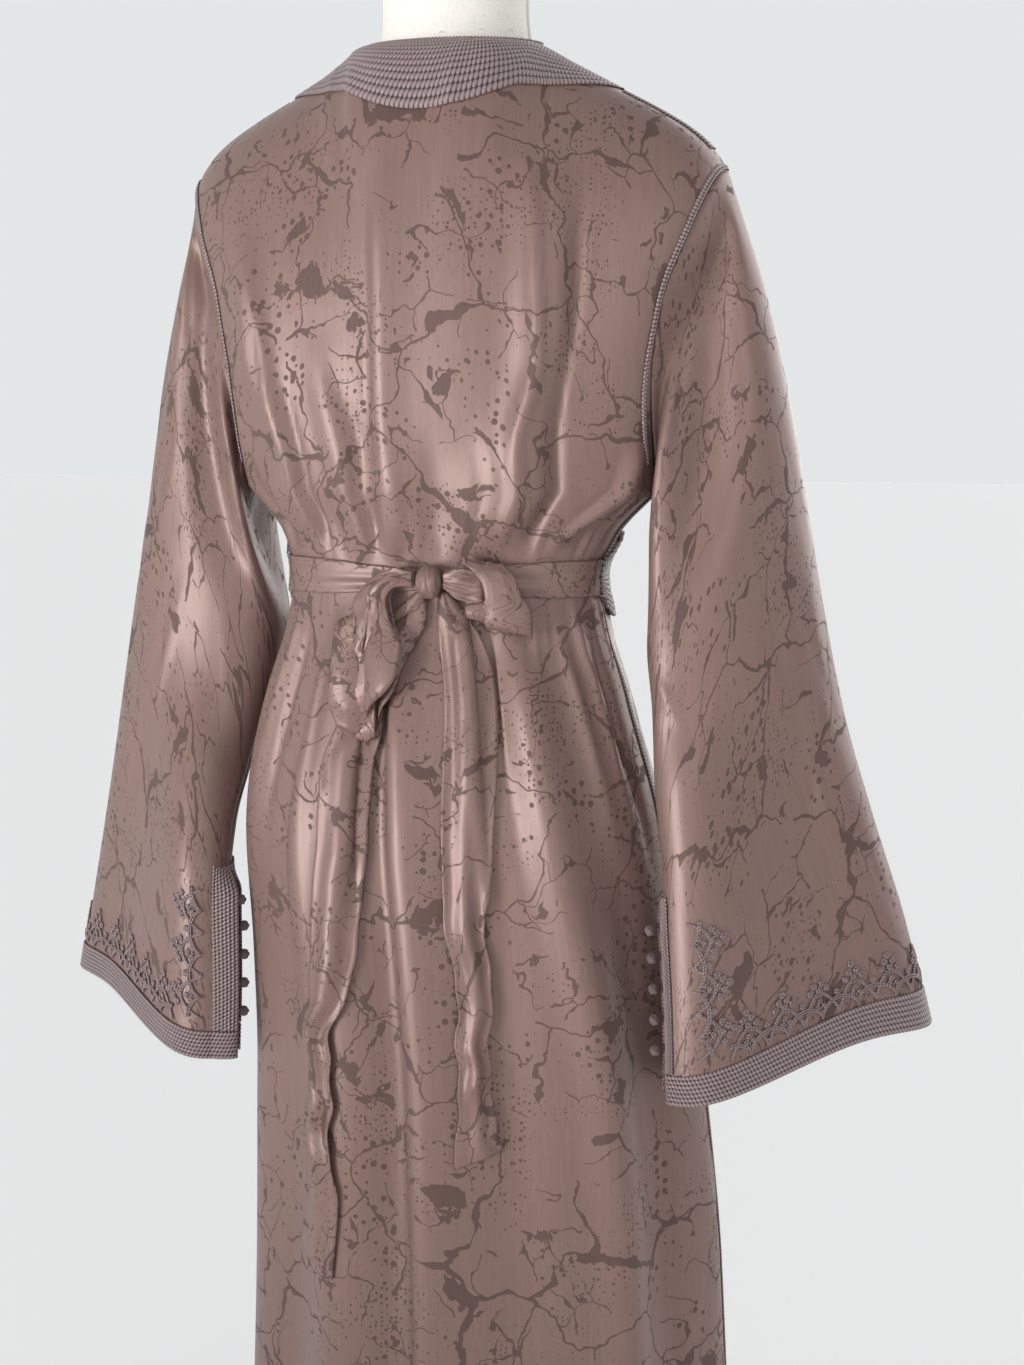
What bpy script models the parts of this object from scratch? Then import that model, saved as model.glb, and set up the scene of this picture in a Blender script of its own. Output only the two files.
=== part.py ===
"""A Moroccan kaftan worn by a limbless dress form, one closed solid for each sewn piece.

Metres, Z up. The kaftan's front faces -Y and the wearer's right is -X. Every cloth piece is a
thin wall over one shared surface: sections of the skirt and bodice, with folds laid on them.
Trims are made from the points of the piece that they lie on, moved out.
"""
import math
from collections import namedtuple

import bmesh
import bpy
from mathutils import Vector
from mathutils.bvhtree import BVHTree

# Driving dimensions
WALL = 0.0018               # cloth with its facing
SEAM = 0.0003               # gap between two pieces at a seam
HEM_Z = 0.040
ARMPIT_Z = 1.155
BELT_Z = 1.090
NECK_HALF_WIDTH = 0.068     # neck opening of the kaftan, at the shoulder seam
NAPE_Z, NAPE_Y = 1.476, 0.060
SHOULDER_X = 0.207          # shoulder tip, where the sleeve head starts
V_NECK_Z = 1.290            # lowest point of the front opening
BAND_WIDTH = 0.045          # plaited band down the front edges
BAND_THICK = 0.0016
BRAID_WIDTH = 0.008         # narrow braid over the seams
BRAID_THICK = 0.0012
TIE_HEIGHT = 0.027
BELT_HEIGHT = 0.066
BELT_THICK = 0.0035
BUTTONS = 5
BUTTON_DIAMETER = 0.0085
BASE_RADIUS, BASE_HEIGHT = 0.155, 0.016
POLE_RADIUS = 0.015
NECK_TOP_Z = 1.545
CAP_HEIGHT = 0.012

Section = namedtuple("Section", "z half_width centre_x side_y back_y front_y")
SECTIONS = (
    Section(0.040, 0.206, -0.021, -0.010, 0.150, -0.232),
    Section(0.300, 0.196, -0.021, -0.008, 0.147, -0.220),
    Section(0.500, 0.187, -0.021, -0.004, 0.143, -0.204),
    Section(0.700, 0.178, -0.019, 0.006, 0.138, -0.180),
    Section(0.800, 0.170, -0.012, 0.016, 0.135, -0.162),
    Section(0.900, 0.163, -0.003, 0.026, 0.129, -0.140),
    Section(1.000, 0.141, 0.000, 0.033, 0.111, -0.117),
    Section(1.050, 0.126, 0.000, 0.034, 0.100, -0.105),
    Section(1.090, 0.120, 0.000, 0.034, 0.094, -0.099),
    Section(1.120, 0.130, 0.000, 0.028, 0.098, -0.108),
    Section(1.155, 0.161, 0.000, 0.020, 0.104, -0.120),
)

# Above the armpit: the armhole edge and both faces, by the share of the way up to the shoulder.
Yoke = namedtuple("Yoke", "up armhole_x back_edge_y front_edge_y back_y front_y")
YOKE = (
    Yoke(0.00, 0.161, 0.020, 0.020, 0.104, -0.120),
    Yoke(0.10, 0.161, 0.044, -0.012, 0.107, -0.126),
    Yoke(0.22, 0.162, 0.060, -0.040, 0.110, -0.131),
    Yoke(0.40, 0.170, 0.070, -0.054, 0.112, -0.132),
    Yoke(0.60, 0.188, 0.072, -0.058, 0.112, -0.128),
    Yoke(0.80, 0.200, 0.072, -0.058, 0.110, -0.116),
    Yoke(1.00, 0.207, 0.072, -0.058, 0.108, -0.104),
)

Ridge = namedtuple("Ridge", "x z")
SHOULDER_RIDGE = (
    Ridge(0.000, 1.500), Ridge(0.068, 1.478), Ridge(0.090, 1.466), Ridge(0.128, 1.446),
    Ridge(0.160, 1.429), Ridge(0.185, 1.413), Ridge(0.200, 1.398), Ridge(0.207, 1.386),
)

# Folds: a soft ridge (height > 0) or trough (height < 0) along a path of (z, bearing). The
# bearing is in degrees from the centre back, positive on the wearer's left; so are the widths
# to both sides. The fades are the lengths over which a fold dies out at its two ends.
Fold = namedtuple("Fold", "name height left_width right_width top_fade foot_fade path")
FOLDS = (
    Fold("left_blade", 0.007, 8, 7, 0.06, 0.03, ((1.36, 54), (1.26, 56), (1.18, 43), (1.11, 50))),
    Fold("left_gusset", -0.007, 5, 5, 0.03, 0.02, ((1.17, 65), (1.11, 60))),
    Fold("left_waist", 0.004, 5, 5, 0.05, 0.02, ((1.26, 29), (1.20, 24), (1.14, 19), (1.11, 21))),
    Fold("left_centre", 0.005, 4, 7, 0.08, 0.02, ((1.41, 12), (1.28, 11.5), (1.11, 12.5))),
    Fold("knot_valley", -0.004, 4, 4, 0.05, 0.02, ((1.19, -4), (1.11, -5))),
    Fold("right_blade", 0.008, 9, 6, 0.05, 0.03, ((1.40, -28), (1.32, -36), (1.25, -38),
                                                  (1.18, -31), (1.11, -33))),
    Fold("right_diagonal", 0.008, 7, 5, 0.02, 0.02, ((1.18, -72), (1.14, -57), (1.11, -44))),
    Fold("main_edge", 0.012, 4, 9, 0.10, 0.01, ((1.06, 8), (0.92, 4), (0.70, 3), (0.04, -1))),
    Fold("main_valley", -0.009, 5, 5, 0.08, 0.01, ((1.04, 14), (0.90, 12), (0.70, 11.5), (0.04, 8))),
    Fold("left_soft", 0.008, 8, 6, 0.20, 0.01, ((0.98, 25), (0.60, 25), (0.04, 28))),
    Fold("left_back", -0.008, 9, 9, 0.15, 0.01, ((0.80, 43), (0.04, 47))),
    Fold("left_side", 0.005, 9, 9, 0.12, 0.01, ((1.06, 72), (0.90, 66), (0.04, 68))),
    Fold("right_valley", -0.008, 8, 8, 0.20, 0.01, ((0.95, -18), (0.04, -24))),
    Fold("right_ridge", 0.013, 6, 9, 0.08, 0.01, ((1.06, -33), (0.94, -36), (0.77, -42),
                                                 (0.60, -46), (0.04, -50))),
    Fold("right_back", -0.010, 8, 8, 0.12, 0.01, ((0.90, -57), (0.04, -68))),
    Fold("right_side", 0.008, 9, 9, 0.20, 0.01, ((0.75, -84), (0.04, -90))),
    Fold("left_front_valley", -0.012, 9, 9, 0.30, 0.01, ((0.85, 96), (0.04, 94))),
    Fold("left_front", 0.014, 9, 9, 0.30, 0.01, ((0.95, 118), (0.04, 116))),
    Fold("left_front_inner", -0.011, 9, 9, 0.30, 0.01, ((0.85, 138), (0.04, 137))),
    Fold("left_front_edge", 0.009, 9, 9, 0.30, 0.01, ((0.90, 158), (0.04, 157))),
    Fold("right_front_valley", -0.010, 9, 9, 0.30, 0.01, ((0.85, -108), (0.04, -110))),
    Fold("right_front", 0.013, 9, 9, 0.30, 0.01, ((1.00, -127), (0.04, -130))),
    Fold("right_front_inner", -0.010, 9, 9, 0.30, 0.01, ((0.80, -147), (0.04, -150))),
    Fold("front_gather_left", 0.005, 5, 5, 0.08, 0.02, ((1.24, 128), (1.11, 140))),
    Fold("front_gather_right", 0.005, 5, 5, 0.08, 0.02, ((1.25, -124), (1.11, -138))),
    Fold("front_waist_left", -0.005, 5, 5, 0.06, 0.02, ((1.20, 146), (1.11, 153))),
    Fold("front_waist_right", -0.005, 5, 5, 0.06, 0.02, ((1.19, -148), (1.11, -152))),
)

BODY_ROWS = (0.04, 0.14, 0.25, 0.36, 0.47, 0.58, 0.68, 0.77, 0.85, 0.92, 0.98, 1.03,
             1.057, 1.076, 1.103, 1.124, 1.14, 1.155)
YOKE_STEPS = 9
# Bearings of the grid lines: closer together where the neck's edge turns to the shoulder.
BACK_BEARINGS = (0.0, 6.4, 12.9, 17.4, 19.18, 25.7, 32.1, 38.6, 45.0, 51.4, 57.9, 64.3, 70.7,
                 77.1, 83.6, 90.0)
NECK_BAND_BEARING = 38.6    # the neck band meets the shoulder seam here
FRONT_COLUMNS = 12

# Sleeves: outer and inner edges from the shoulder down, and how deep the empty tube stands.
SleeveRow = namedtuple("SleeveRow", "down outer_x outer_y outer_z inner_x inner_y inner_z "
                                    "back_depth front_depth")
SLEEVE_RIGHT = (
    SleeveRow(0.00, 0.2090, 0.000, 1.386, 0.1630, 0.020, 1.155, 0.052, 0.050),
    SleeveRow(0.06, 0.2200, -0.001, 1.352, 0.1660, 0.026, 1.131, 0.050, 0.048),
    SleeveRow(0.14, 0.2360, -0.003, 1.300, 0.1610, 0.036, 1.098, 0.046, 0.044),
    SleeveRow(0.26, 0.2540, -0.006, 1.220, 0.1610, 0.048, 1.046, 0.042, 0.038),
    SleeveRow(0.38, 0.2680, -0.010, 1.142, 0.1670, 0.058, 0.993, 0.039, 0.034),
    SleeveRow(0.50, 0.2820, -0.014, 1.062, 0.1710, 0.067, 0.940, 0.037, 0.032),
    SleeveRow(0.62, 0.2980, -0.018, 0.985, 0.1780, 0.075, 0.888, 0.035, 0.031),
    SleeveRow(0.74, 0.3200, -0.022, 0.910, 0.1820, 0.082, 0.836, 0.035, 0.031),
    SleeveRow(0.87, 0.3460, -0.026, 0.829, 0.1870, 0.089, 0.774, 0.035, 0.032),
    SleeveRow(1.00, 0.3670, -0.030, 0.747, 0.1900, 0.095, 0.712, 0.035, 0.032),
)
SLEEVE_LEFT = (
    SleeveRow(0.00, 0.2090, 0.000, 1.386, 0.1630, 0.020, 1.155, 0.052, 0.050),
    SleeveRow(0.06, 0.2150, -0.001, 1.352, 0.1660, 0.018, 1.131, 0.052, 0.046),
    SleeveRow(0.14, 0.2260, -0.003, 1.305, 0.1580, 0.010, 1.098, 0.050, 0.042),
    SleeveRow(0.26, 0.2430, -0.006, 1.225, 0.1430, 0.000, 1.046, 0.046, 0.036),
    SleeveRow(0.38, 0.2590, -0.010, 1.140, 0.1520, 0.010, 0.993, 0.042, 0.034),
    SleeveRow(0.50, 0.2750, -0.014, 1.058, 0.1640, 0.028, 0.940, 0.039, 0.032),
    SleeveRow(0.62, 0.2920, -0.018, 0.975, 0.1690, 0.056, 0.888, 0.037, 0.031),
    SleeveRow(0.74, 0.3080, -0.022, 0.894, 0.1685, 0.073, 0.836, 0.037, 0.031),
    SleeveRow(0.87, 0.3260, -0.026, 0.810, 0.1680, 0.076, 0.774, 0.037, 0.032),
    SleeveRow(1.00, 0.3410, -0.030, 0.745, 0.1690, 0.080, 0.712, 0.036, 0.032),
)
SLEEVE_ROWS = (0.0, 0.03, 0.08, 0.15, 0.23, 0.32, 0.41, 0.50, 0.59, 0.675, 0.76, 0.84, 0.92, 1.0)
SLIT_TOP = 0.675            # how far down the sleeve the slit starts

# Folds of a sleeve, on its back (around 0 to 0.5, from the inner edge out) and its front
# (0.5 to 1): height outward, centre and width of the fold, and where it runs down the sleeve.
SleeveFold = namedtuple("SleeveFold", "height around_top around_foot width start end")
SLEEVE_FOLDS = (
    SleeveFold(-0.020, 0.30, 0.22, 0.085, 0.02, 0.34),
    SleeveFold(-0.018, 0.70, 0.78, 0.085, 0.02, 0.34),
    SleeveFold(0.008, 0.16, 0.14, 0.070, 0.45, 1.20),
    SleeveFold(-0.010, 0.31, 0.33, 0.080, 0.55, 1.20),
    SleeveFold(0.007, 0.86, 0.84, 0.070, 0.50, 1.20),
    SleeveFold(-0.008, 0.68, 0.67, 0.080, 0.60, 1.20),
)

# The dress form under the cloth.
FormRow = namedtuple("FormRow", "z half_width centre_y back_y front_y")
FORM = (
    FormRow(0.800, 0.138, 0.000, 0.112, -0.118),
    FormRow(0.860, 0.150, 0.000, 0.118, -0.124),
    FormRow(0.920, 0.146, 0.000, 0.112, -0.118),
    FormRow(1.000, 0.128, 0.004, 0.098, -0.102),
    FormRow(1.060, 0.113, 0.006, 0.086, -0.090),
    FormRow(1.090, 0.110, 0.006, 0.084, -0.088),
    FormRow(1.130, 0.118, 0.004, 0.086, -0.100),
    FormRow(1.180, 0.134, 0.000, 0.092, -0.112),
    FormRow(1.240, 0.144, 0.000, 0.098, -0.116),
    FormRow(1.300, 0.156, 0.000, 0.094, -0.108),
    FormRow(1.345, 0.168, 0.000, 0.082, -0.090),
    FormRow(1.375, 0.178, 0.000, 0.068, -0.074),
    FormRow(1.396, 0.179, 0.000, 0.058, -0.062),
    FormRow(1.412, 0.172, 0.000, 0.052, -0.056),
    FormRow(1.4245, 0.1600, 0.000, 0.040, -0.042),
    FormRow(1.4328, 0.1464, 0.000, 0.038, -0.040),
    FormRow(1.4420, 0.1291, 0.000, 0.038, -0.040),
    FormRow(1.4521, 0.1100, 0.000, 0.040, -0.042),
    FormRow(1.4627, 0.0898, 0.000, 0.044, -0.047),
    FormRow(1.4740, 0.0640, 0.000, 0.048, -0.052),
    FormRow(1.4840, 0.0570, 0.000, 0.050, -0.054),
    FormRow(1.510, 0.055, 0.000, 0.051, -0.054),
    FormRow(NECK_TOP_Z, 0.055, 0.000, 0.052, -0.054),
)
FORM_SEGMENTS = 28

Finish = namedtuple("Finish", "red green blue roughness metallic")
FINISHES = {
    "satin": Finish(0.235, 0.150, 0.130, 0.42, 0.0),
    "braid": Finish(0.200, 0.130, 0.130, 0.60, 0.0),
    "linen": Finish(0.720, 0.680, 0.620, 0.85, 0.0),
    "wood": Finish(0.300, 0.180, 0.100, 0.45, 0.0),
    "steel": Finish(0.180, 0.170, 0.165, 0.35, 0.9),
}


def lerp(start, end, share):
    """The value that lies the given share of the way from start to end."""
    return start + (end - start) * share


def smooth_step(low, high, value):
    """0 below low, 1 above high and a soft S between them."""
    share = min(max((value - low) / (high - low), 0.0), 1.0)
    return share * share * (3.0 - 2.0 * share)


def curve(xs, ys, x):
    """A smooth curve through the points (xs, ys) that never swings past them."""
    if x <= xs[0]:
        return ys[0]
    if x >= xs[-1]:
        return ys[-1]
    steps = [(ys[i + 1] - ys[i]) / (xs[i + 1] - xs[i]) for i in range(len(xs) - 1)]

    def slope(i):
        if i == 0 or i == len(xs) - 1:
            return steps[min(i, len(steps) - 1)]
        if steps[i - 1] * steps[i] <= 0.0:
            return 0.0
        return 2.0 * steps[i - 1] * steps[i] / (steps[i - 1] + steps[i])

    i = next(k for k in range(len(steps)) if x <= xs[k + 1])
    width = xs[i + 1] - xs[i]
    t = (x - xs[i]) / width
    return (ys[i] * (1 + 2 * t) * (1 - t) ** 2 + width * slope(i) * t * (1 - t) ** 2
            + ys[i + 1] * t * t * (3 - 2 * t) + width * slope(i + 1) * t * t * (t - 1))


def read(table, key, value):
    """The row of a table at a value between its rows, as a row of the same kind."""
    keys = [getattr(row, key) for row in table]
    columns = zip(*table)
    return type(table[0])(*[curve(keys, list(column), value) for column in columns])


def bulge(share, power=2.0):
    """Half of a rounded section: 1 in the middle (share 0) and 0 at its side (share 1)."""
    return max(0.0, 1.0 - abs(share) ** power) ** (1.0 / power)


def ridge_z(x):
    """Height of the shoulder seam at a distance from the middle."""
    return curve([row.x for row in SHOULDER_RIDGE], [row.z for row in SHOULDER_RIDGE], abs(x))


def skirt_point(bearing, z):
    """A point of the unfolded surface below the armpit."""
    row = read(SECTIONS, "z", z)
    angle = math.radians(bearing)
    reach = row.back_y if abs(bearing) <= 90.0 else row.front_y
    return Vector((row.centre_x + row.half_width * math.sin(angle),
                   row.side_y + (reach - row.side_y) * abs(math.cos(angle)), z))


def yoke_point(bearing, up):
    """A point of the unfolded surface between armpit and shoulder; up runs from 0 to 1."""
    row = read(YOKE, "up", up)
    share = math.sin(math.radians(bearing))
    side = math.copysign(1.0, share)
    rise, roll = math.sin(up * math.pi / 2), math.cos(up * math.pi / 2) ** 0.8
    neck_share = NECK_HALF_WIDTH / SHOULDER_X
    if abs(bearing) <= 90.0:
        x_top = share * SHOULDER_X
        if abs(share) < neck_share:
            top_y = NAPE_Y * bulge(share / neck_share)
            top_z = lerp(NAPE_Z, ridge_z(NECK_HALF_WIDTH), (share / neck_share) ** 2)
        else:
            top_y, top_z = 0.0, ridge_z(x_top)
        reach = lerp(row.back_edge_y, row.back_y, bulge(share))
        x = share * row.armhole_x
    else:
        edge_z = lerp(ARMPIT_Z, ridge_z(NECK_HALF_WIDTH), rise)
        opening = max(0.0, (edge_z - V_NECK_Z) / (ridge_z(NECK_HALF_WIDTH) - V_NECK_Z))
        edge_x = NECK_HALF_WIDTH * opening ** 1.1
        x_top = lerp(NECK_HALF_WIDTH, SHOULDER_X, abs(share))
        top_y, top_z = 0.0, ridge_z(x_top)
        reach = lerp(row.front_edge_y, row.front_y, bulge(share))
        x = side * lerp(edge_x, row.armhole_x, abs(share))
    return Vector((x, top_y + (reach - top_y) * roll, lerp(ARMPIT_Z, top_z, rise)))


def plain_point(bearing, height):
    """A point without folds. height is z up to the armpit, then ARMPIT_Z plus 0 to 1."""
    if height <= ARMPIT_Z:
        return skirt_point(bearing, height)
    return yoke_point(bearing, min(height - ARMPIT_Z, 1.0))


def outward(point_at, bearing, height):
    """The outward direction of a surface at a bearing and height, by its two tangents."""
    low, high = bearing - 0.6, bearing + 0.6
    if height > ARMPIT_Z:
        limit = (-90.0, 90.0) if abs(bearing) <= 90.0 else (
            (90.0, 180.0) if bearing > 0 else (-180.0, -90.0))
        low, high = max(low, limit[0]), min(high, limit[1])
    foot, head = max(height - 0.006, HEM_Z), min(height + 0.006, ARMPIT_Z + 0.998)
    across = point_at(high, min(height, head)) - point_at(low, min(height, head))
    along = point_at(bearing, head) - point_at(bearing, foot)
    return along.cross(across).normalized()


def fold_height(bearing, z):
    """How far the folds push the cloth out at a bearing and a height above the floor."""
    total = 0.0
    for fold in FOLDS:
        top, foot = fold.path[0][0], fold.path[-1][0]
        if not foot - 0.08 < z < top + 0.08:
            continue
        path = sorted(fold.path)
        away = bearing - curve([p[0] for p in path], [p[1] for p in path], z)
        width = fold.left_width if away > 0 else fold.right_width
        if abs(away) > 4 * width:
            continue
        strength = 1.0 - smooth_step(top - fold.top_fade, top + 0.02, z)
        if foot > HEM_Z + 0.1:
            strength *= smooth_step(foot - 0.01, foot + fold.foot_fade, z)
        total += fold.height * strength * math.exp(-(away / width) ** 2)
    return total * (1.0 - 0.8 * math.exp(-((z - BELT_Z) / 0.030) ** 2))


def body_point(bearing, height):
    """A point of the kaftan's body with its folds."""
    point = plain_point(bearing, height)
    return point + outward(plain_point, bearing, height) * fold_height(bearing, point.z)


class Cloth:
    """A grid of outer points with normals, on which walls and trims are built.

    rows and columns hold the two parameters of each grid line; wrap lists the rows whose last
    point is their first one, so a tube is closed there and slit elsewhere.
    """

    def __init__(self, rows, columns, point_at, normal_at, wrap=()):
        self.rows, self.columns, self.wrap = list(rows), list(columns), set(wrap)
        self.points = [[point_at(column, row) for column in self.columns] for row in self.rows]
        self.normals = [[normal_at(column, row) for column in self.columns] for row in self.rows]

    def at(self, row, column, out=0.0):
        """A point on the facets at two parameters, moved out along the normal."""
        i, s = self._place(self.rows, row)
        j, t = self._place(self.columns, column)

        def blend(grid):
            low = grid[i][j].lerp(grid[i][j + 1], t)
            return low.lerp(grid[i + 1][j].lerp(grid[i + 1][j + 1], t), s)

        return blend(self.points) + blend(self.normals).normalized() * out

    @staticmethod
    def _place(lines, value):
        rising = lines[-1] > lines[0]
        for k in range(len(lines) - 1):
            low, high = (lines[k], lines[k + 1]) if rising else (lines[k + 1], lines[k])
            if value <= high if rising else value >= low:
                break
        return k, min(max((value - lines[k]) / (lines[k + 1] - lines[k]), 0.0), 1.0)


def new_object(name, mesh_data, finish):
    """An object in the scene with its own material."""
    obj = bpy.data.objects.new(name, mesh_data)
    bpy.context.scene.collection.objects.link(obj)
    look = FINISHES[finish]
    material = bpy.data.materials.new(name + "_" + finish)
    material.use_nodes = True
    shader = material.node_tree.nodes["Principled BSDF"]
    shader.inputs["Base Color"].default_value = (look.red, look.green, look.blue, 1.0)
    shader.inputs["Roughness"].default_value = look.roughness
    shader.inputs["Metallic"].default_value = look.metallic
    mesh_data.materials.clear()
    mesh_data.materials.append(material)
    return obj


def wall(name, outer, inner, finish, wrap=(), keep=None):
    """A closed wall between an outer and an inner grid of points.

    keep, when given, says for each cell (row, column) whether it is cloth.
    """
    bm = bmesh.new()
    last = len(outer[0]) - 1

    def vertices(grid):
        found = {}
        for i, row in enumerate(grid):
            for j, point in enumerate(row):
                if j == last and i in wrap:
                    found[i, j] = found[i, 0]
                else:
                    found[i, j] = bm.verts.new(point)
        return found

    front, back = vertices(outer), vertices(inner)
    edges = {}
    for i in range(len(outer) - 1):
        for j in range(last):
            if keep and not keep(i, j):
                continue
            corners = ((i, j), (i, j + 1), (i + 1, j + 1), (i + 1, j))
            for triangle in (corners[:3], corners[2:] + corners[:1]):
                bm.faces.new([front[c] for c in triangle])
                bm.faces.new([back[c] for c in reversed(triangle)])
            for a, b in zip(corners, corners[1:] + corners[:1]):
                pair = (front[a], front[b])
                if (pair[1], pair[0]) in edges:
                    del edges[pair[1], pair[0]]
                else:
                    edges[pair] = (back[a], back[b])
    for (a, b), (c, d) in edges.items():
        bm.faces.new([b, a, c])
        bm.faces.new([b, c, d])
    bmesh.ops.delete(bm, geom=[v for v in bm.verts if not v.link_faces], context="VERTS")
    bmesh.ops.recalc_face_normals(bm, faces=bm.faces)
    mesh_data = bpy.data.meshes.new(name)
    bm.to_mesh(mesh_data)
    bm.free()
    return new_object(name, mesh_data, finish)


def cloth_wall(name, cloth, finish="satin", thickness=WALL):
    """The wall of a cloth piece, from its outer points inwards."""
    inner = [[point - normal * thickness for point, normal in zip(points, normals)]
             for points, normals in zip(cloth.points, cloth.normals)]
    return wall(name, cloth.points, inner, finish, cloth.wrap)


def tree_of(obj):
    """A search tree over an object's facets, as it stands in the scene."""
    return BVHTree.FromPolygons([obj.matrix_basis @ vertex.co for vertex in obj.data.vertices],
                                [tuple(polygon.vertices) for polygon in obj.data.polygons])


def settle(point_at, rows, columns, over, margin=0.0003, step=0.0002):
    """How much each point of a grid is raised so that no facet meets a piece below it.

    point_at gives a point by row, column and extra height; over is the objects below.
    """
    trees = [tree_of(obj) for obj in over]
    extra = [[0.0] * columns for _ in range(rows)]
    facets = []
    for i in range(rows - 1):
        for j in range(columns - 1):
            facets.append(((i, j), (i, j + 1), (i + 1, j + 1)))
            facets.append(((i + 1, j + 1), (i + 1, j), (i, j)))
    for _ in range(80):
        points = [point_at(i, j, extra[i][j] - margin) for i in range(rows)
                  for j in range(columns)]
        grid = BVHTree.FromPolygons(points, [tuple(i * columns + j for i, j in facet)
                                             for facet in facets])
        raised = {corner for tree in trees for k, _ in grid.overlap(tree)
                  for corner in facets[k]}
        if not raised:
            break
        for i, j in raised:
            extra[i][j] += step
    return extra


def strip(name, lines, finish, thickness, over, lift=None, wrap=(), keep=None):
    """A trim: lines of functions that give a point of the cloth below, moved out by a height."""
    lift = lift or [[SEAM + 0.0001] * len(line) for line in lines]
    extra = settle(lambda i, j, out: lines[i][j](lift[i][j] + out), len(lines), len(lines[0]), over)
    inner = [[at(lift[i][j] + extra[i][j]) for j, at in enumerate(line)]
             for i, line in enumerate(lines)]
    outer = [[at(lift[i][j] + extra[i][j] + thickness) for j, at in enumerate(line)]
             for i, line in enumerate(lines)]
    return wall(name, outer, inner, finish, wrap, keep)


def spot(cloth, row, column):
    """A point of a cloth as a function of its height out of the cloth."""
    return lambda out: cloth.at(row, column, out)


def seam_share(z):
    """Half a seam's gap as an angle in degrees of the section at a height."""
    return math.degrees(SEAM / 2 / read(SECTIONS, "z", min(z, ARMPIT_Z)).half_width)


def body_rows():
    """Heights of the grid lines from the hem to the shoulder."""
    return list(BODY_ROWS) + [ARMPIT_Z + (k + 1) / YOKE_STEPS for k in range(YOKE_STEPS)]


def body_cloth(bearings):
    """The cloth between two bearings, trimmed by half a seam at its sides and at the shoulder."""
    first, last = bearings[0], bearings[-1]
    face = 1.0 if abs(first + last) < 180.0 else -1.0

    def inset(bearing, height):
        gap = seam_share(height)
        if bearing == first:
            return bearing + gap * (1 if last > first else -1)
        if bearing == last and abs(last) != 180.0:
            return bearing - gap * (1 if last > first else -1)
        return bearing

    def point_at(bearing, height):
        point = body_point(inset(bearing, height), height)
        if abs(bearing) == 180.0:
            point.x += math.copysign(SEAM / 2, bearing)
        if height >= ARMPIT_Z + 0.999:
            point.y += face * SEAM / 2
        return point

    def normal_at(bearing, height):
        normal = outward(body_point, inset(bearing, height), height)
        if height >= ARMPIT_Z + 0.999:
            normal.y = 0.0
        return normal.normalized()

    return Cloth(body_rows(), bearings, point_at, normal_at)


def sleeve_cloth(side, table, back, front):
    """A sleeve as an open tube from the armhole edges of the back and the front to its cuff."""
    count = YOKE_STEPS
    top_rows = [ARMPIT_Z] + [ARMPIT_Z + (k + 1) / count for k in range(count)]
    back_edge, front_edge = side * 90.0, side * 90.0

    def armhole(around):
        step = around * 2 * count
        cloth = back if step <= count else front
        rise = step if step <= count else 2 * count - step
        height = top_rows[min(int(round(rise)), count)]
        point = cloth.at(height, back_edge if cloth is back else front_edge)
        return point + Vector((side * 0.0005, 0.0, 0.0))

    def plain(around, down):
        row = read(table, "down", down)
        face = 1.0 if around <= 0.5 else -1.0
        share = (1.0 - math.cos(2 * math.pi * around)) / 2
        depth = row.back_depth if face > 0 else row.front_depth
        swell = abs(math.sin(2 * math.pi * around)) ** 0.75
        x = side * lerp(row.inner_x, row.outer_x, share)
        y = lerp(row.inner_y, row.outer_y, share) + face * depth * swell
        z = lerp(row.inner_z, row.outer_z, share)
        return Vector((x, y, z + 0.012 * smooth_step(0.7, 1.0, down)
                       * math.sin(math.pi * share) * (share - 0.35) * 2))

    def folded(around, down):
        point = plain(around, down)
        push = 0.0
        for fold in SLEEVE_FOLDS:
            centre = lerp(fold.around_top, fold.around_foot,
                          smooth_step(fold.start, fold.end, down))
            strength = (smooth_step(fold.start - 0.02, fold.start + 0.10, down)
                        * (1.0 - smooth_step(fold.end - 0.16, fold.end, down)))
            push += fold.height * strength * math.exp(-((around - centre) / fold.width) ** 2)
        return point + Vector((0.0, push if around <= 0.5 else -push, 0.0))

    def point_at(around, down):
        loose = folded(around, down)
        hold = 1.0 - smooth_step(0.0, 0.26, down)
        gap = 0.007 * smooth_step(SLIT_TOP, SLIT_TOP + 0.06, down)
        if around in (0.0, 1.0):
            loose.y += gap if around == 0.0 else -gap * 1.5
            loose.x += -side * gap if around == 1.0 else 0.0
        return loose + (armhole(around) - folded(around, 0.0)) * hold

    def normal_at(around, down):
        step, reach = 0.5 / count, 0.02
        low, high = around - step * 0.5, around + step * 0.5
        slit = down > SLIT_TOP
        low = (max(low, 0.0) if slit else low % 1.0)
        high = (min(high, 1.0) if slit else high % 1.0)
        if around in (0.0, 1.0) and not slit:
            low, high = 1.0 - step * 0.5, step * 0.5
        head, foot = max(down - reach, 0.0), min(down + reach, 1.0)
        across = point_at(high, down) - point_at(low, down)
        along = point_at(around, foot) - point_at(around, head)
        normal = across.cross(along).normalized() * side
        middle = (folded(0.0, down) + folded(0.5, down)) / 2
        if normal.dot(point_at(around, down) - middle) < 0:
            normal.negate()
        if down == 0.0:
            normal.x = 0.0
        return normal.normalized()

    arounds = [k / (2 * count) for k in range(2 * count + 1)]
    wrap = [i for i, down in enumerate(SLEEVE_ROWS) if down <= SLIT_TOP]
    return Cloth(SLEEVE_ROWS, arounds, point_at, normal_at, wrap)


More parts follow.
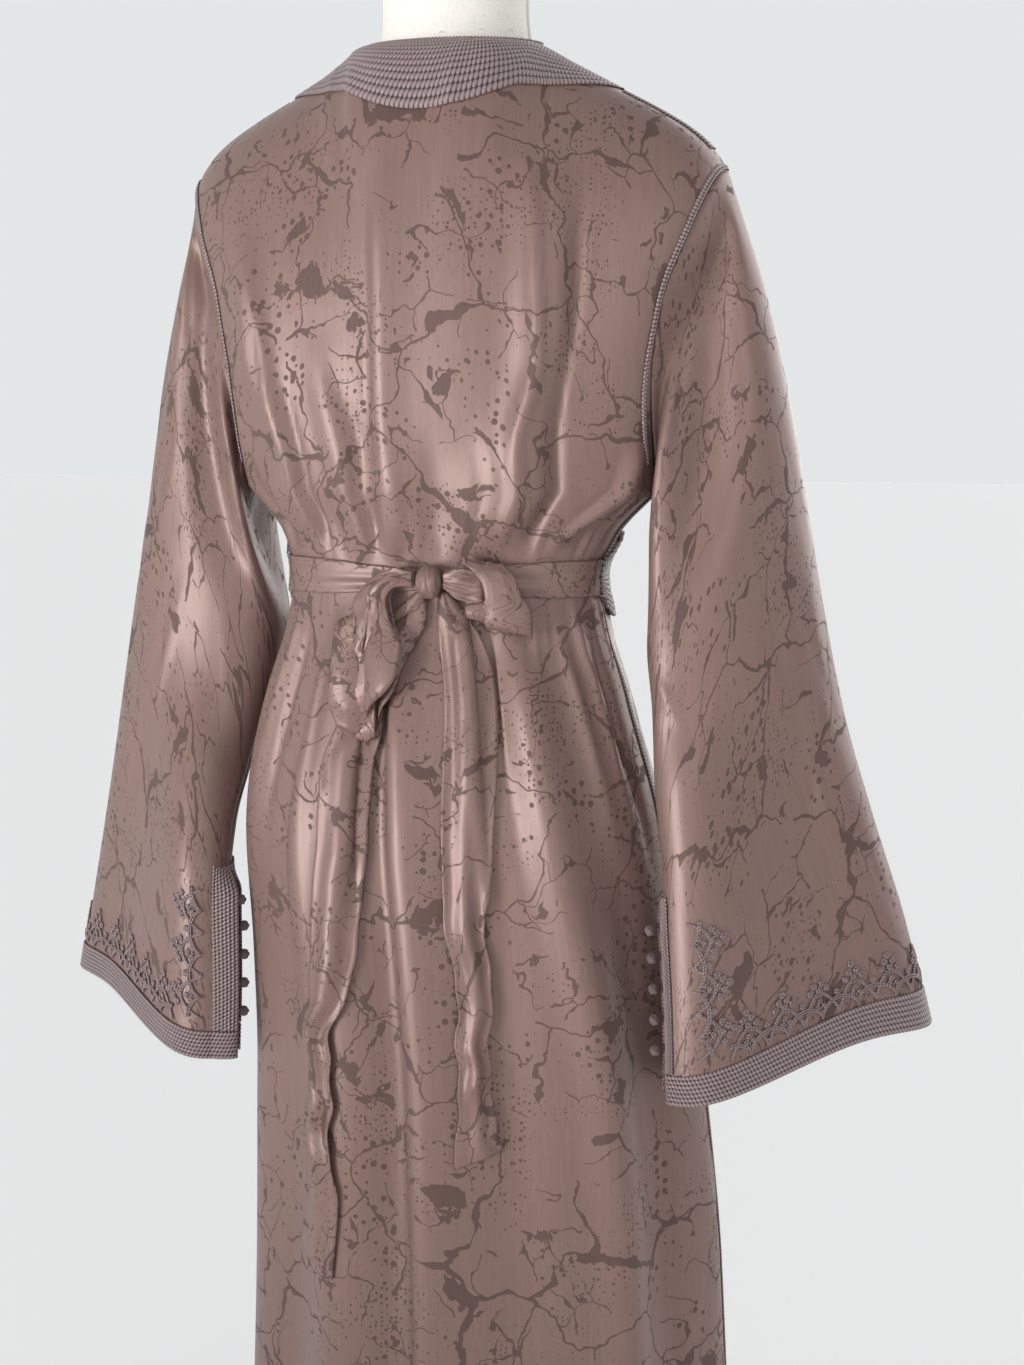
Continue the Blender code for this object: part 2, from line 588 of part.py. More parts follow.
def build_neck_band(back, below):
    """The plaited band on the back, from shoulder seam to shoulder seam round the neck.

    Its lines follow the back's own grid lines, where the cloth bends most.
    """
    turns = [1.0 - 2.0 / YOKE_STEPS, 1.0 - 1.0 / YOKE_STEPS, 0.9995]
    half = [bearing for bearing in BACK_BEARINGS if bearing <= NECK_BAND_BEARING]
    half = sorted(half + [(low + high) / 2 for low, high in zip(half, half[1:])])
    lines = [[], [], [], []]
    for bearing in [-bearing for bearing in half[:0:-1]] + half:
        low = lerp(0.640, 0.985, (abs(bearing) / NECK_BAND_BEARING) ** 2.6)
        ups = [low] + turns
        if low > turns[0]:
            ups[1] = lerp(low, max(turns[1], low), 0.5)
        if low > turns[1]:
            ups[1:3] = [lerp(low, 1.0, 0.3), lerp(low, 1.0, 0.6)]
        for line, up in zip(lines, ups):
            line.append(spot(back, ARMPIT_Z + up, bearing))
    strip("neck_band", lines, "braid", BAND_THICK, below)


def front_band_bearing(height, width):
    """Bearing of the point that lies a width from the front edge at a height."""
    if height <= ARMPIT_Z:
        return 180.0 - math.degrees(math.asin(width / read(SECTIONS, "z", height).half_width))
    up = height - ARMPIT_Z
    row = read(YOKE, "up", up)
    edge_z = lerp(ARMPIT_Z, ridge_z(NECK_HALF_WIDTH), math.sin(up * math.pi / 2))
    opening = max(0.0, (edge_z - V_NECK_Z) / (ridge_z(NECK_HALF_WIDTH) - V_NECK_Z))
    edge_x = NECK_HALF_WIDTH * opening ** 1.1
    share = width / (row.armhole_x - edge_x)
    return 180.0 - math.degrees(math.asin(share))


def build_front_bands(fronts, pieces):
    """The same band down both front edges, from the shoulder seam to the hem."""
    bands = {}
    for side, front in fronts.items():
        sign = 1.0 if side == "left" else -1.0
        lines = []
        for height in body_rows()[:-1] + [ARMPIT_Z + 0.997]:
            width = lerp(BAND_WIDTH, 0.0605, smooth_step(0.5, 1.0, height - ARMPIT_Z))
            line = []
            for share in (0.0, 0.5, 1.0):
                bearing = front_band_bearing(height, max(width * share, 0.0))
                line.append(spot(front, height, sign * min(bearing, 180.0)))
            lines.append(line)
        name = "front_band_" + side
        bands[name] = strip(name, lines, "braid", BAND_THICK, [pieces["front_" + side]])
    return bands


def build_shoulder_braid(side, sign, back, front, below):
    """The braid over a shoulder seam, between the neck band and the armhole braid."""
    lines = []
    for k in range(7):
        x = lerp(0.1305, 0.1965, k / 6)
        back_bearing = math.degrees(math.asin(x / SHOULDER_X)) * sign
        front_share = (x - NECK_HALF_WIDTH) / (SHOULDER_X - NECK_HALF_WIDTH)
        front_bearing = (180.0 - math.degrees(math.asin(front_share))) * sign
        lines.append([spot(back, ARMPIT_Z + 0.955, back_bearing),
                      spot(back, ARMPIT_Z + 1.0, back_bearing),
                      spot(front, ARMPIT_Z + 1.0, front_bearing),
                      spot(front, ARMPIT_Z + 0.955, front_bearing)])
    strip("shoulder_braid_" + side, lines, "braid", BRAID_THICK, below)


def build_armhole_braid(side, sign, back, front, below):
    """The braid on the body along the armhole, from armpit over the shoulder to armpit."""
    heights = [ARMPIT_Z + 0.05] + [ARMPIT_Z + (k + 1) / YOKE_STEPS for k in range(YOKE_STEPS)]
    lines = []
    for cloth, step, path in ((back, -6.4, heights), (front, 90.0 / FRONT_COLUMNS, heights[::-1])):
        for height in path:
            clear = 0.5 * (1.0 - smooth_step(0.15, 0.35, height - ARMPIT_Z))
            lines.append([spot(cloth, height, sign * (90.0 + step * (k + clear)))
                          for k in (0.45, 1.0, 2.0)])
    strip("armhole_braid_" + side, lines, "braid", BRAID_THICK, below)


def build_side_braid(side, sign, back, front, below):
    """The braid over a side seam, from the armpit to the hem."""
    lines = []
    for z in list(BODY_ROWS[:-1]) + [ARMPIT_Z - 0.004]:
        spread = math.degrees(BRAID_WIDTH / 2 / (read(SECTIONS, "z", z).half_width * 0.8))
        lines.append([spot(back, z, sign * (90.0 - spread)), spot(back, z, sign * 90.0),
                      spot(front, z, sign * 90.0), spot(front, z, sign * (90.0 + spread))])
    return strip("side_braid_" + side, lines, "braid", BRAID_THICK, below)


def build_cuff(side, sleeve, below):
    """Band, raised cordwork and buttons at a cuff and its slit."""
    def around_for(width, down):
        return width / (2.0 * (sleeve.at(down, 0.0) - sleeve.at(down, 0.5)).length * 1.12)

    band_top = 0.955
    downs = [SLIT_TOP + 0.01, 0.76, 0.84, 0.92, band_top, 1.0]
    lines = []
    for down in downs:
        edge = around_for(0.018, down)
        arounds = [0.0, edge] + [k / 18 for k in range(2, 17)] + [1.0 - edge, 1.0]
        lines.append([spot(sleeve, down, around) for around in arounds])
    last = len(lines[0]) - 2
    band = strip(
        "cuff_band_" + side, lines, "braid", BAND_THICK, below,
        keep=lambda i, j: i == len(downs) - 2 or j in (0, last))

    peaks = 11
    margin = around_for(0.022, band_top)
    lines = []
    tops = (0.875, 0.930)
    columns = 2 * peaks
    for level in (0.0, 0.5, 1.0):
        line = []
        for k in range(columns + 1):
            around = lerp(margin, 1.0 - margin, k / columns)
            top = tops[0] if k % 2 == 1 else tops[1]
            down = lerp(band_top - 0.006, top, level)
            line.append(spot(sleeve, down, around))
        lines.append(line)
    strip("cuff_cordwork_" + side, lines, "braid", 0.0014, below)

    trees = [tree_of(obj) for obj in below + [band]]
    for k in range(BUTTONS):
        down = lerp(SLIT_TOP + 0.065, 0.93, k / (BUTTONS - 1))
        edge = (sleeve.at(down, 1.0) - sleeve.at(down, 0.95)).normalized()
        centre = sleeve.at(down, 1.0, 0.0005)
        while min(tree.find_nearest(centre)[3] for tree in trees) < BUTTON_DIAMETER / 2 + SEAM:
            centre = centre + edge * 0.0002
        bpy.ops.mesh.primitive_uv_sphere_add(segments=10, ring_count=6,
                                             radius=BUTTON_DIAMETER / 2, location=centre)
        ball = bpy.context.object
        new_object(f"button_{side}_{k + 1}", ball.data.copy(), "braid").location = centre
        bpy.data.objects.remove(ball)


def build_belt(back, fronts, pieces):
    """The stiff front of the belt and the two ties that run to the knot."""
    def belt_line(bearing, half_height):
        wrapped = bearing - 360.0 if bearing > 180.0 else bearing
        cloth = back
        if abs(wrapped) > 90.0:
            cloth = fronts["left"] if wrapped > 0 else fronts["right"]
        return [spot(cloth, BELT_Z + half_height * share, wrapped)
                for share in (-1.0, -0.5, 0.0, 0.5, 1.0)]

    below = [pieces[name] for name in ("back_panel", "front_left", "front_right",
                                       "front_band_left", "front_band_right",
                                       "side_braid_left", "side_braid_right")]
    ends = (84.0, 86.0, 88.0, 90.0, 93.0, 97.5, 105.0)
    step = 90.0 / FRONT_COLUMNS
    middle = [105.0 + step * (k + 1) / 2 for k in range(2 * FRONT_COLUMNS - 5)]
    bearings = list(ends) + middle + [179.95]
    bearings += [360.0 - bearing for bearing in bearings[::-1]]
    lines = []
    for bearing in bearings:
        end = min(bearing - 84.0, 276.0 - bearing)
        half = lerp(TIE_HEIGHT / 2 + 0.002, BELT_HEIGHT / 2, smooth_step(0.0, 16.0, end))
        lines.append(belt_line(bearing, half))
    strip("belt_front", lines, "braid", BELT_THICK, below)

    ties = []
    for side, start, end in (("left", 83.2, 0.4), ("right", -83.2, -8.0)):
        lines = []
        for k in range(25):
            half = lerp(TIE_HEIGHT / 2, 0.0085, smooth_step(0.45, 1.0, k / 24))
            lines.append(belt_line(lerp(start, end, k / 24), half))
        ties.append(strip("belt_tie_" + side, lines, "satin", 0.0022, below))
    return ties


def build_knot(back, below):
    """The knot of the ties at the centre back, moved out until it just rests on the cloth."""
    bpy.ops.mesh.primitive_uv_sphere_add(segments=14, ring_count=9, radius=1.0)
    ball = bpy.context.object
    shape = [Vector((x * 0.0100 * (1 + 0.12 * z), y * 0.0090, z * 0.0125))
             for x, y, z in (vertex.co for vertex in ball.data.vertices)]
    facets = [tuple(polygon.vertices) for polygon in ball.data.polygons]
    trees = [tree_of(obj) for obj in below]
    centre, out = back.at(BELT_Z - 0.001, -4.0, 0.006), Vector((0.0, 0.0001, 0.0))
    while any(BVHTree.FromPolygons([point + centre for point in shape], facets).overlap(tree)
              for tree in trees):
        centre = centre + out
    for vertex, point in zip(ball.data.vertices, shape):
        vertex.co = point + centre + out * 3
    knot = new_object("belt_knot", ball.data.copy(), "satin")
    bpy.data.objects.remove(ball)
    return knot


# Ribbons of the bow, down the back: a row for each section, with the middle's x, the width,
# how far the middle stands off the skirt and how much it is creased across.
Ribbon = namedtuple("Ribbon", "z x width off crease")
TAIL_LEFT = (
    Ribbon(1.0808, 0.001, 0.009, 0.0010, 0.000), Ribbon(1.065, 0.006, 0.024, 0.0012, 0.002),
    Ribbon(1.040, 0.018, 0.032, 0.0012, 0.003), Ribbon(1.000, 0.036, 0.032, 0.0012, 0.003),
    Ribbon(0.955, 0.052, 0.034, 0.0012, 0.004), Ribbon(0.880, 0.055, 0.034, 0.0010, 0.004),
    Ribbon(0.800, 0.059, 0.030, 0.0010, 0.005), Ribbon(0.740, 0.067, 0.022, 0.0010, 0.006),
    Ribbon(0.660, 0.068, 0.024, 0.0010, 0.006), Ribbon(0.630, 0.069, 0.034, 0.0008, 0.004),
    Ribbon(0.590, 0.074, 0.040, 0.0006, 0.003), Ribbon(0.568, 0.079, 0.044, 0.0004, 0.002),
)
TAIL_RIGHT = (
    Ribbon(1.0808, -0.0165, 0.009, 0.0010, 0.000), Ribbon(1.060, -0.026, 0.024, 0.0012, 0.003),
    Ribbon(1.030, -0.036, 0.034, 0.0012, 0.003), Ribbon(0.985, -0.042, 0.036, 0.0010, 0.004),
    Ribbon(0.935, -0.043, 0.038, 0.0010, 0.004), Ribbon(0.850, -0.043, 0.031, 0.0010, 0.005),
    Ribbon(0.780, -0.050, 0.024, 0.0010, 0.006), Ribbon(0.730, -0.050, 0.022, 0.0008, 0.005),
    Ribbon(0.690, -0.052, 0.028, 0.0006, 0.003), Ribbon(0.668, -0.055, 0.034, 0.0004, 0.002),
)


def skirt_spot(back, x, z, out):
    """A point over the skirt's back at an x and a height."""
    row = read(SECTIONS, "z", z)
    share = min(max((x - row.centre_x) / row.half_width, -0.98), 0.98)
    return back.at(z, math.degrees(math.asin(share)), out)


def build_tail(name, table, back, cut, below):
    """A hanging tie end, creased along its middle; cut slants its end."""
    lines, lift = [], []
    for row in table:
        line, heights = [], []
        for share in (-1.0, -0.5, 0.0, 0.5, 1.0):
            z = row.z + (cut * share if row is table[-1] else 0.0)
            line.append(lambda out, x=row.x + share * row.width / 2, z=z:
                        skirt_spot(back, x, z, out))
            heights.append(row.off + row.crease * (0.5 + 0.5 * math.cos(math.pi * share * 1.5)))
        lines.append(line)
        lift.append(heights)
    return strip(name, lines, "satin", 0.0018, below, lift)


# Loops of the bow: for each section its middle, its width, the direction of that width in
# degrees and how far its two layers stand off the skirt.
Loop = namedtuple("Loop", "x z width lean inner_off outer_off")
LOOP_LEFT = (
    Loop(0.0024, 1.0925, 0.015, -88, 0.0085, 0.0135), Loop(0.0140, 1.0930, 0.017, -95, 0.0080, 0.0160),
    Loop(0.0260, 1.0830, 0.021, -125, 0.0070, 0.0170), Loop(0.0305, 1.0660, 0.030, -155, 0.0060, 0.0180),
    Loop(0.0325, 1.0410, 0.045, -166, 0.0050, 0.0195), Loop(0.0360, 1.0160, 0.050, -168, 0.0045, 0.0195),
    Loop(0.0420, 0.9940, 0.044, -160, 0.0040, 0.0165), Loop(0.0490, 0.9770, 0.022, -150, 0.0040, 0.0100),
)
LOOP_RIGHT = (
    Loop(-0.0190, 1.0905, 0.013, -90, 0.0075, 0.0120), Loop(-0.0300, 1.0885, 0.026, -90, 0.0050, 0.0150),
    Loop(-0.0420, 1.0865, 0.029, -88, 0.0045, 0.0150), Loop(-0.0510, 1.0850, 0.020, -84, 0.0050, 0.0090),
)
LOOP_FLAP = (
    Loop(-0.0452, 1.1070, 0.030, -170, 0.0035, 0.0080), Loop(-0.0519, 1.0990, 0.031, -165, 0.0045, 0.0125),
    Loop(-0.0578, 1.0850, 0.027, -160, 0.0050, 0.0150), Loop(-0.0608, 1.0720, 0.027, -162, 0.0050, 0.0150),
    Loop(-0.0541, 1.0620, 0.044, -167, 0.0040, 0.0130), Loop(-0.0615, 1.0550, 0.034, -167, 0.0035, 0.0110),
    Loop(-0.0712, 1.0490, 0.015, -165, 0.0030, 0.0070),
)


def build_loop(name, table, back, below):
    """A loop of the bow: two layers of the tie, joined at its tip, open at both sides."""
    thick, shares = 0.0014, (-1.0, -0.4, 0.4, 1.0)

    def place(row, share, layer):
        lean = math.radians(row.lean)
        x = row.x + math.cos(lean) * row.width / 2 * share
        z = row.z + math.sin(lean) * row.width / 2 * share
        belly = (0.55 + 0.45 * bulge(share * 0.9)) * (row.outer_off - row.inner_off)
        return x, z, row.inner_off + (belly if layer else 0.0)

    def near(i, j, out):
        x, z, off = place(table[i], shares[j], 0)
        return skirt_spot(back, x, z, off - thick + out)

    extra = settle(near, len(table), len(shares), below)
    outside, inside = [], []
    for layer, order in ((0, range(len(table))), (1, range(len(table) - 1, -1, -1))):
        for i in order:
            spots = [place(table[i], share, layer) for share in shares]
            side = thick if layer else -thick
            inside.append([skirt_spot(back, x, z, off + extra[i][j])
                           for j, (x, z, off) in enumerate(spots)])
            outside.append([skirt_spot(back, x, z, off + side + extra[i][j])
                            for j, (x, z, off) in enumerate(spots)])
    return wall(name, outside, inside, "satin")


def build_form():
    """The torso under the cloth with its neck cap, pole and round base."""
    rings = []
    for row in FORM:
        ring = []
        for k in range(FORM_SEGMENTS):
            turn = 2 * math.pi * k / FORM_SEGMENTS
            reach = row.back_y if math.cos(turn) > 0 else -row.front_y
            ring.append(Vector((row.half_width * math.sin(turn),
                                row.centre_y + (reach - row.centre_y) * math.cos(turn), row.z)))
        rings.append(ring)
    bm = bmesh.new()
    loops = [[bm.verts.new(point) for point in ring] for ring in rings]
    for low, high in zip(loops, loops[1:]):
        for k in range(FORM_SEGMENTS):
            n = (k + 1) % FORM_SEGMENTS
            bm.faces.new((low[k], low[n], high[n], high[k]))
    bm.faces.new(loops[0][::-1])
    bm.faces.new(loops[-1])
    bmesh.ops.recalc_face_normals(bm, faces=bm.faces)
    mesh_data = bpy.data.meshes.new("form_torso")
    bm.to_mesh(mesh_data)
    bm.free()
    new_object("form_torso", mesh_data, "linen")

    disc("form_cap", "wood", (0.0, 0.0, NECK_TOP_Z + SEAM), (
        (0.000, 0.054), (0.004, 0.056), (0.009, 0.053), (CAP_HEIGHT, 0.040)), 28)
    disc("form_pole", "steel", (0.0, 0.0, BASE_HEIGHT + 0.012 + SEAM), (
        (0.000, POLE_RADIUS), (FORM[0].z - BASE_HEIGHT - 0.012 - 2 * SEAM, POLE_RADIUS)), 16)
    disc("form_base", "steel", (0.0, 0.0, 0.0), (
        (0.000, BASE_RADIUS - 0.002), (0.003, BASE_RADIUS), (0.009, BASE_RADIUS),
        (BASE_HEIGHT, BASE_RADIUS - 0.012), (BASE_HEIGHT + 0.001, 0.032),
        (BASE_HEIGHT + 0.006, 0.024), (BASE_HEIGHT + 0.012, 0.022)), 36)


def disc(name, finish, place, profile, segments):
    """A solid of revolution from (height, radius) pairs, closed by flat ends."""
    bm = bmesh.new()
    loops = []
    for height, radius in profile:
        circle = bmesh.ops.create_circle(bm, segments=segments, radius=radius)["verts"]
        bmesh.ops.translate(bm, verts=circle, vec=(0.0, 0.0, height))
        loops.append(circle)
    for low, high in zip(loops, loops[1:]):
        for k in range(segments):
            n = (k + 1) % segments
            bm.faces.new((low[k], low[n], high[n], high[k]))
    bm.faces.new(loops[0][::-1])
    bm.faces.new(loops[-1])
    bmesh.ops.recalc_face_normals(bm, faces=bm.faces)
    mesh_data = bpy.data.meshes.new(name)
    bm.to_mesh(mesh_data)
    bm.free()
    new_object(name, mesh_data, finish).location = place


def main():
    for obj in list(bpy.data.objects):
        bpy.data.objects.remove(obj)
    back = body_cloth(list(BACK_BEARINGS[:0:-1]) + [-bearing for bearing in BACK_BEARINGS])
    quarter = [90.0 + 90.0 * k / FRONT_COLUMNS for k in range(FRONT_COLUMNS + 1)]
    fronts = {"left": body_cloth(quarter[::-1]),
              "right": body_cloth([-bearing for bearing in quarter])}
    pieces = {"back_panel": cloth_wall("back_panel", back)}
    for side, sign, table in (("left", 1.0, SLEEVE_LEFT), ("right", -1.0, SLEEVE_RIGHT)):
        front = fronts[side]
        pieces["front_" + side] = cloth_wall("front_" + side, front)
        sleeve = sleeve_cloth(sign, table, back, front)
        pieces["sleeve_" + side] = cloth_wall("sleeve_" + side, sleeve)
        body = [pieces["back_panel"], pieces["front_" + side]]
        build_shoulder_braid(side, sign, back, front, body)
        build_armhole_braid(side, sign, back, front, body + [pieces["sleeve_" + side]])
        pieces["side_braid_" + side] = build_side_braid(side, sign, back, front, body)
        build_cuff(side, sleeve, [pieces["sleeve_" + side]])
    build_neck_band(back, [pieces["back_panel"]])
    pieces.update(build_front_bands(fronts, pieces))
    ties = build_belt(back, fronts, pieces)
    build_knot(back, [pieces["back_panel"]] + ties)
    hung = [pieces["back_panel"]] + ties
    hung.append(build_tail("tail_left", TAIL_LEFT, back, 0.006, hung[:1]))
    hung.append(build_tail("tail_right", TAIL_RIGHT, back, -0.007, hung[:1]))
    build_loop("bow_loop_left", LOOP_LEFT, back, hung)
    hung.append(build_loop("bow_loop_right", LOOP_RIGHT, back, hung))
    build_loop("bow_flap", LOOP_FLAP, back, hung)
    build_form()


main()
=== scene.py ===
"""Looks of a Moroccan kaftan worn by a limbless dress form: satin, plaited braid, cords, stand.

Metres, Z up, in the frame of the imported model. The kaftan's front faces -Y and the wearer's
right is -X. A place on the body is a bearing (degrees from the centre back, positive on the
wearer's left) and a height (z up to the armpit, then ARMPIT_Z plus 0 to 1 up to the shoulder).
"""
import logging
import math
from dataclasses import dataclass, field
from enum import Enum
from typing import Any, Callable, Sequence

import bpy
import numpy as np
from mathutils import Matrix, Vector


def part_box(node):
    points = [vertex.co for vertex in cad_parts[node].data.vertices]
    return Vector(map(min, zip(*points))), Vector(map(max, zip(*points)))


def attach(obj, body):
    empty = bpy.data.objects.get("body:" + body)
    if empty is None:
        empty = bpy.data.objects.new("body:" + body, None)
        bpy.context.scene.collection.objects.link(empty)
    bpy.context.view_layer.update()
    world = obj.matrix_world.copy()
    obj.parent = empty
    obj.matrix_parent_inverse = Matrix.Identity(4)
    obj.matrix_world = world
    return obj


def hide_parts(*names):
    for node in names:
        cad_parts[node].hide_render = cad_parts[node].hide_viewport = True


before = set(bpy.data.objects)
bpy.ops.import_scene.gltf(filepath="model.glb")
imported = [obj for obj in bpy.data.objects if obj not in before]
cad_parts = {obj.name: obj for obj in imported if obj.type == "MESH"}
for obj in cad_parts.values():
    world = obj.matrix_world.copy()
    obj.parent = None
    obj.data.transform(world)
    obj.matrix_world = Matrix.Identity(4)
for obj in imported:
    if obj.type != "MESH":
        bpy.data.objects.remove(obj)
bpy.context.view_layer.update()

LOG = logging.getLogger("kaftan")
Array = np.ndarray
PointAt = Callable[[Array, Array, Array], Array]

# Sizes shared with the cut of the garment
WALL = 0.0018
HEM_Z = 0.040
ARMPIT_Z = 1.155
BELT_Z = 1.090
NECK_HALF_WIDTH = 0.068
NAPE_Z, NAPE_Y = 1.476, 0.060
SHOULDER_X = 0.207
V_NECK_Z = 1.290
BAND_WIDTH = 0.045
TIE_HEIGHT = 0.027
BELT_HEIGHT = 0.066
NECK_TOP_Z = 1.545
SEAM_DEGREES = 0.06
SLIT_TOP = 0.675
BUTTONS = 5
BUTTON_DIAMETER = 0.0085
FORM_FOOT_Z, NECK_FOOT_Z = 0.800, 1.484

# Sizes of the looks alone: walls, the satin's lift, where the belt's parts start in degrees,
# and how far out a surface is probed for the way it faces
SATIN_WALL = WALL * 0.9
RIBBON_WALL = 0.0012
LOOP_WALL = 0.0010
CUFF_WALL = 0.0010
CLOTH_LIFT = 0.0002
BAND_TOP_WIDTH = 0.0605
BELT_END = 84.0
TIE_START = 83.2
PROBE = 0.01
MERGE_DISTANCE = 0.00002

# The camera of the photograph, read at the body's scale
CAMERA_TURN, CAMERA_DISTANCE = 15.0, 1.60
CAMERA_SIDEWAYS, CAMERA_HEIGHT = 0.0419, 1.22
FOCAL_PIXELS, PICTURE_PIXELS, HORIZON_PIXELS = 2064.0, 1365.0, 282.0
SENSOR = 36.0


class Side(Enum):
    """A side of the wearer."""

    RIGHT = "right"
    LEFT = "left"

    @property
    def sign(self) -> float:
        """Which way along X the side lies."""
        return 1.0 if self is Side.LEFT else -1.0


class Held(Enum):
    """How a sheet is held on the worn garment."""

    HUNG = "hung"
    STRETCHED = "stretched"
    FOLDED = "folded"


@dataclass(frozen=True)
class Section:
    """One level section of the skirt and waist: two half ellipses that share their sides."""

    z: float
    half_width: float
    centre_x: float
    side_y: float
    back_y: float
    front_y: float


@dataclass(frozen=True)
class Yoke:
    """The bodice above the armpit, by the share of the way up to the shoulder."""

    up: float
    armhole_x: float
    back_edge_y: float
    front_edge_y: float
    back_y: float
    front_y: float


@dataclass(frozen=True)
class Fold:
    """A ridge (height above 0) or trough along a path of (z, bearing).

    Its power is 2 where it is soft and lower where it comes to an edge.
    """

    height: float
    left_width: float
    right_width: float
    top_fade: float
    foot_fade: float
    path: tuple[tuple[float, float], ...]
    power: float = 2.0


@dataclass(frozen=True)
class SleeveRow:
    """Outer and inner edge of a sleeve and how deep the empty tube stands."""

    down: float
    outer_x: float
    outer_y: float
    outer_z: float
    inner_x: float
    inner_y: float
    inner_z: float
    back_depth: float
    front_depth: float


@dataclass(frozen=True)
class SleeveFold:
    """A fold down a sleeve: height outward, place round it at both ends, width and run."""

    height: float
    around_top: float
    around_foot: float
    width: float
    start: float
    end: float


SECTIONS = tuple(Section(*row) for row in (
    (0.040, 0.206, -0.021, -0.010, 0.150, -0.232),
    (0.300, 0.196, -0.021, -0.008, 0.147, -0.220),
    (0.500, 0.187, -0.021, -0.004, 0.143, -0.204),
    (0.700, 0.178, -0.019, 0.006, 0.138, -0.180),
    (0.800, 0.170, -0.012, 0.016, 0.135, -0.162),
    (0.900, 0.163, -0.003, 0.026, 0.129, -0.140),
    (1.000, 0.141, 0.000, 0.033, 0.111, -0.117),
    (1.050, 0.126, 0.000, 0.034, 0.100, -0.105),
    (1.090, 0.120, 0.000, 0.034, 0.094, -0.099),
    (1.120, 0.130, 0.000, 0.028, 0.098, -0.108),
    (1.155, 0.161, 0.000, 0.020, 0.104, -0.120),
))
YOKE = tuple(Yoke(*row) for row in (
    (0.00, 0.161, 0.020, 0.020, 0.104, -0.120),
    (0.10, 0.161, 0.044, -0.012, 0.107, -0.126),
    (0.22, 0.162, 0.060, -0.040, 0.110, -0.131),
    (0.40, 0.170, 0.070, -0.054, 0.112, -0.132),
    (0.60, 0.188, 0.072, -0.058, 0.112, -0.128),
    (0.80, 0.200, 0.072, -0.058, 0.110, -0.116),
    (1.00, 0.207, 0.072, -0.058, 0.108, -0.104),
))
RIDGE_X = (0.000, 0.068, 0.090, 0.128, 0.160, 0.185, 0.200, 0.207)
RIDGE_Z = (1.500, 1.478, 1.466, 1.446, 1.429, 1.413, 1.398, 1.386)

# The folds of the cut, the same as the solids have.
FOLDS = tuple(Fold(*row) for row in (
    (0.007, 8, 7, 0.06, 0.03, ((1.36, 54), (1.26, 56), (1.18, 43), (1.11, 50))),
    (-0.007, 5, 5, 0.03, 0.02, ((1.17, 65), (1.11, 60))),
    (0.004, 5, 5, 0.05, 0.02, ((1.26, 29), (1.20, 24), (1.14, 19), (1.11, 21))),
    (0.005, 4, 7, 0.08, 0.02, ((1.41, 12), (1.28, 11.5), (1.11, 12.5))),
    (-0.004, 4, 4, 0.05, 0.02, ((1.19, -4), (1.11, -5))),
    (0.008, 9, 6, 0.05, 0.03, ((1.40, -28), (1.32, -36), (1.25, -38), (1.18, -31), (1.11, -33))),
    (0.008, 7, 5, 0.02, 0.02, ((1.18, -72), (1.14, -57), (1.11, -44))),
    (0.012, 4, 9, 0.10, 0.01, ((1.06, 8), (0.92, 4), (0.70, 3), (0.04, -1))),
    (-0.009, 5, 5, 0.08, 0.01, ((1.04, 14), (0.90, 12), (0.70, 11.5), (0.04, 8))),
    (0.008, 8, 6, 0.20, 0.01, ((0.98, 25), (0.60, 25), (0.04, 28))),
    (-0.008, 9, 9, 0.15, 0.01, ((0.80, 43), (0.04, 47))),
    (0.005, 9, 9, 0.12, 0.01, ((1.06, 72), (0.90, 66), (0.04, 68))),
    (-0.008, 8, 8, 0.20, 0.01, ((0.95, -18), (0.04, -24))),
    (0.013, 6, 9, 0.08, 0.01, ((1.06, -33), (0.94, -36), (0.77, -42), (0.60, -46), (0.04, -50))),
    (-0.010, 8, 8, 0.12, 0.01, ((0.90, -57), (0.04, -68))),
    (0.008, 9, 9, 0.20, 0.01, ((0.75, -84), (0.04, -90))),
    (-0.012, 9, 9, 0.30, 0.01, ((0.85, 96), (0.04, 94))),
    (0.014, 9, 9, 0.30, 0.01, ((0.95, 118), (0.04, 116))),
    (-0.011, 9, 9, 0.30, 0.01, ((0.85, 138), (0.04, 137))),
    (0.009, 9, 9, 0.30, 0.01, ((0.90, 158), (0.04, 157))),
    (-0.010, 9, 9, 0.30, 0.01, ((0.85, -108), (0.04, -110))),
    (0.013, 9, 9, 0.30, 0.01, ((1.00, -127), (0.04, -130))),
    (-0.010, 9, 9, 0.30, 0.01, ((0.80, -147), (0.04, -150))),
    (0.005, 5, 5, 0.08, 0.02, ((1.24, 128), (1.11, 140))),
    (0.005, 5, 5, 0.08, 0.02, ((1.25, -124), (1.11, -138))),
    (-0.005, 5, 5, 0.06, 0.02, ((1.20, 146), (1.11, 153))),
    (-0.005, 5, 5, 0.06, 0.02, ((1.19, -148), (1.11, -152))),
))

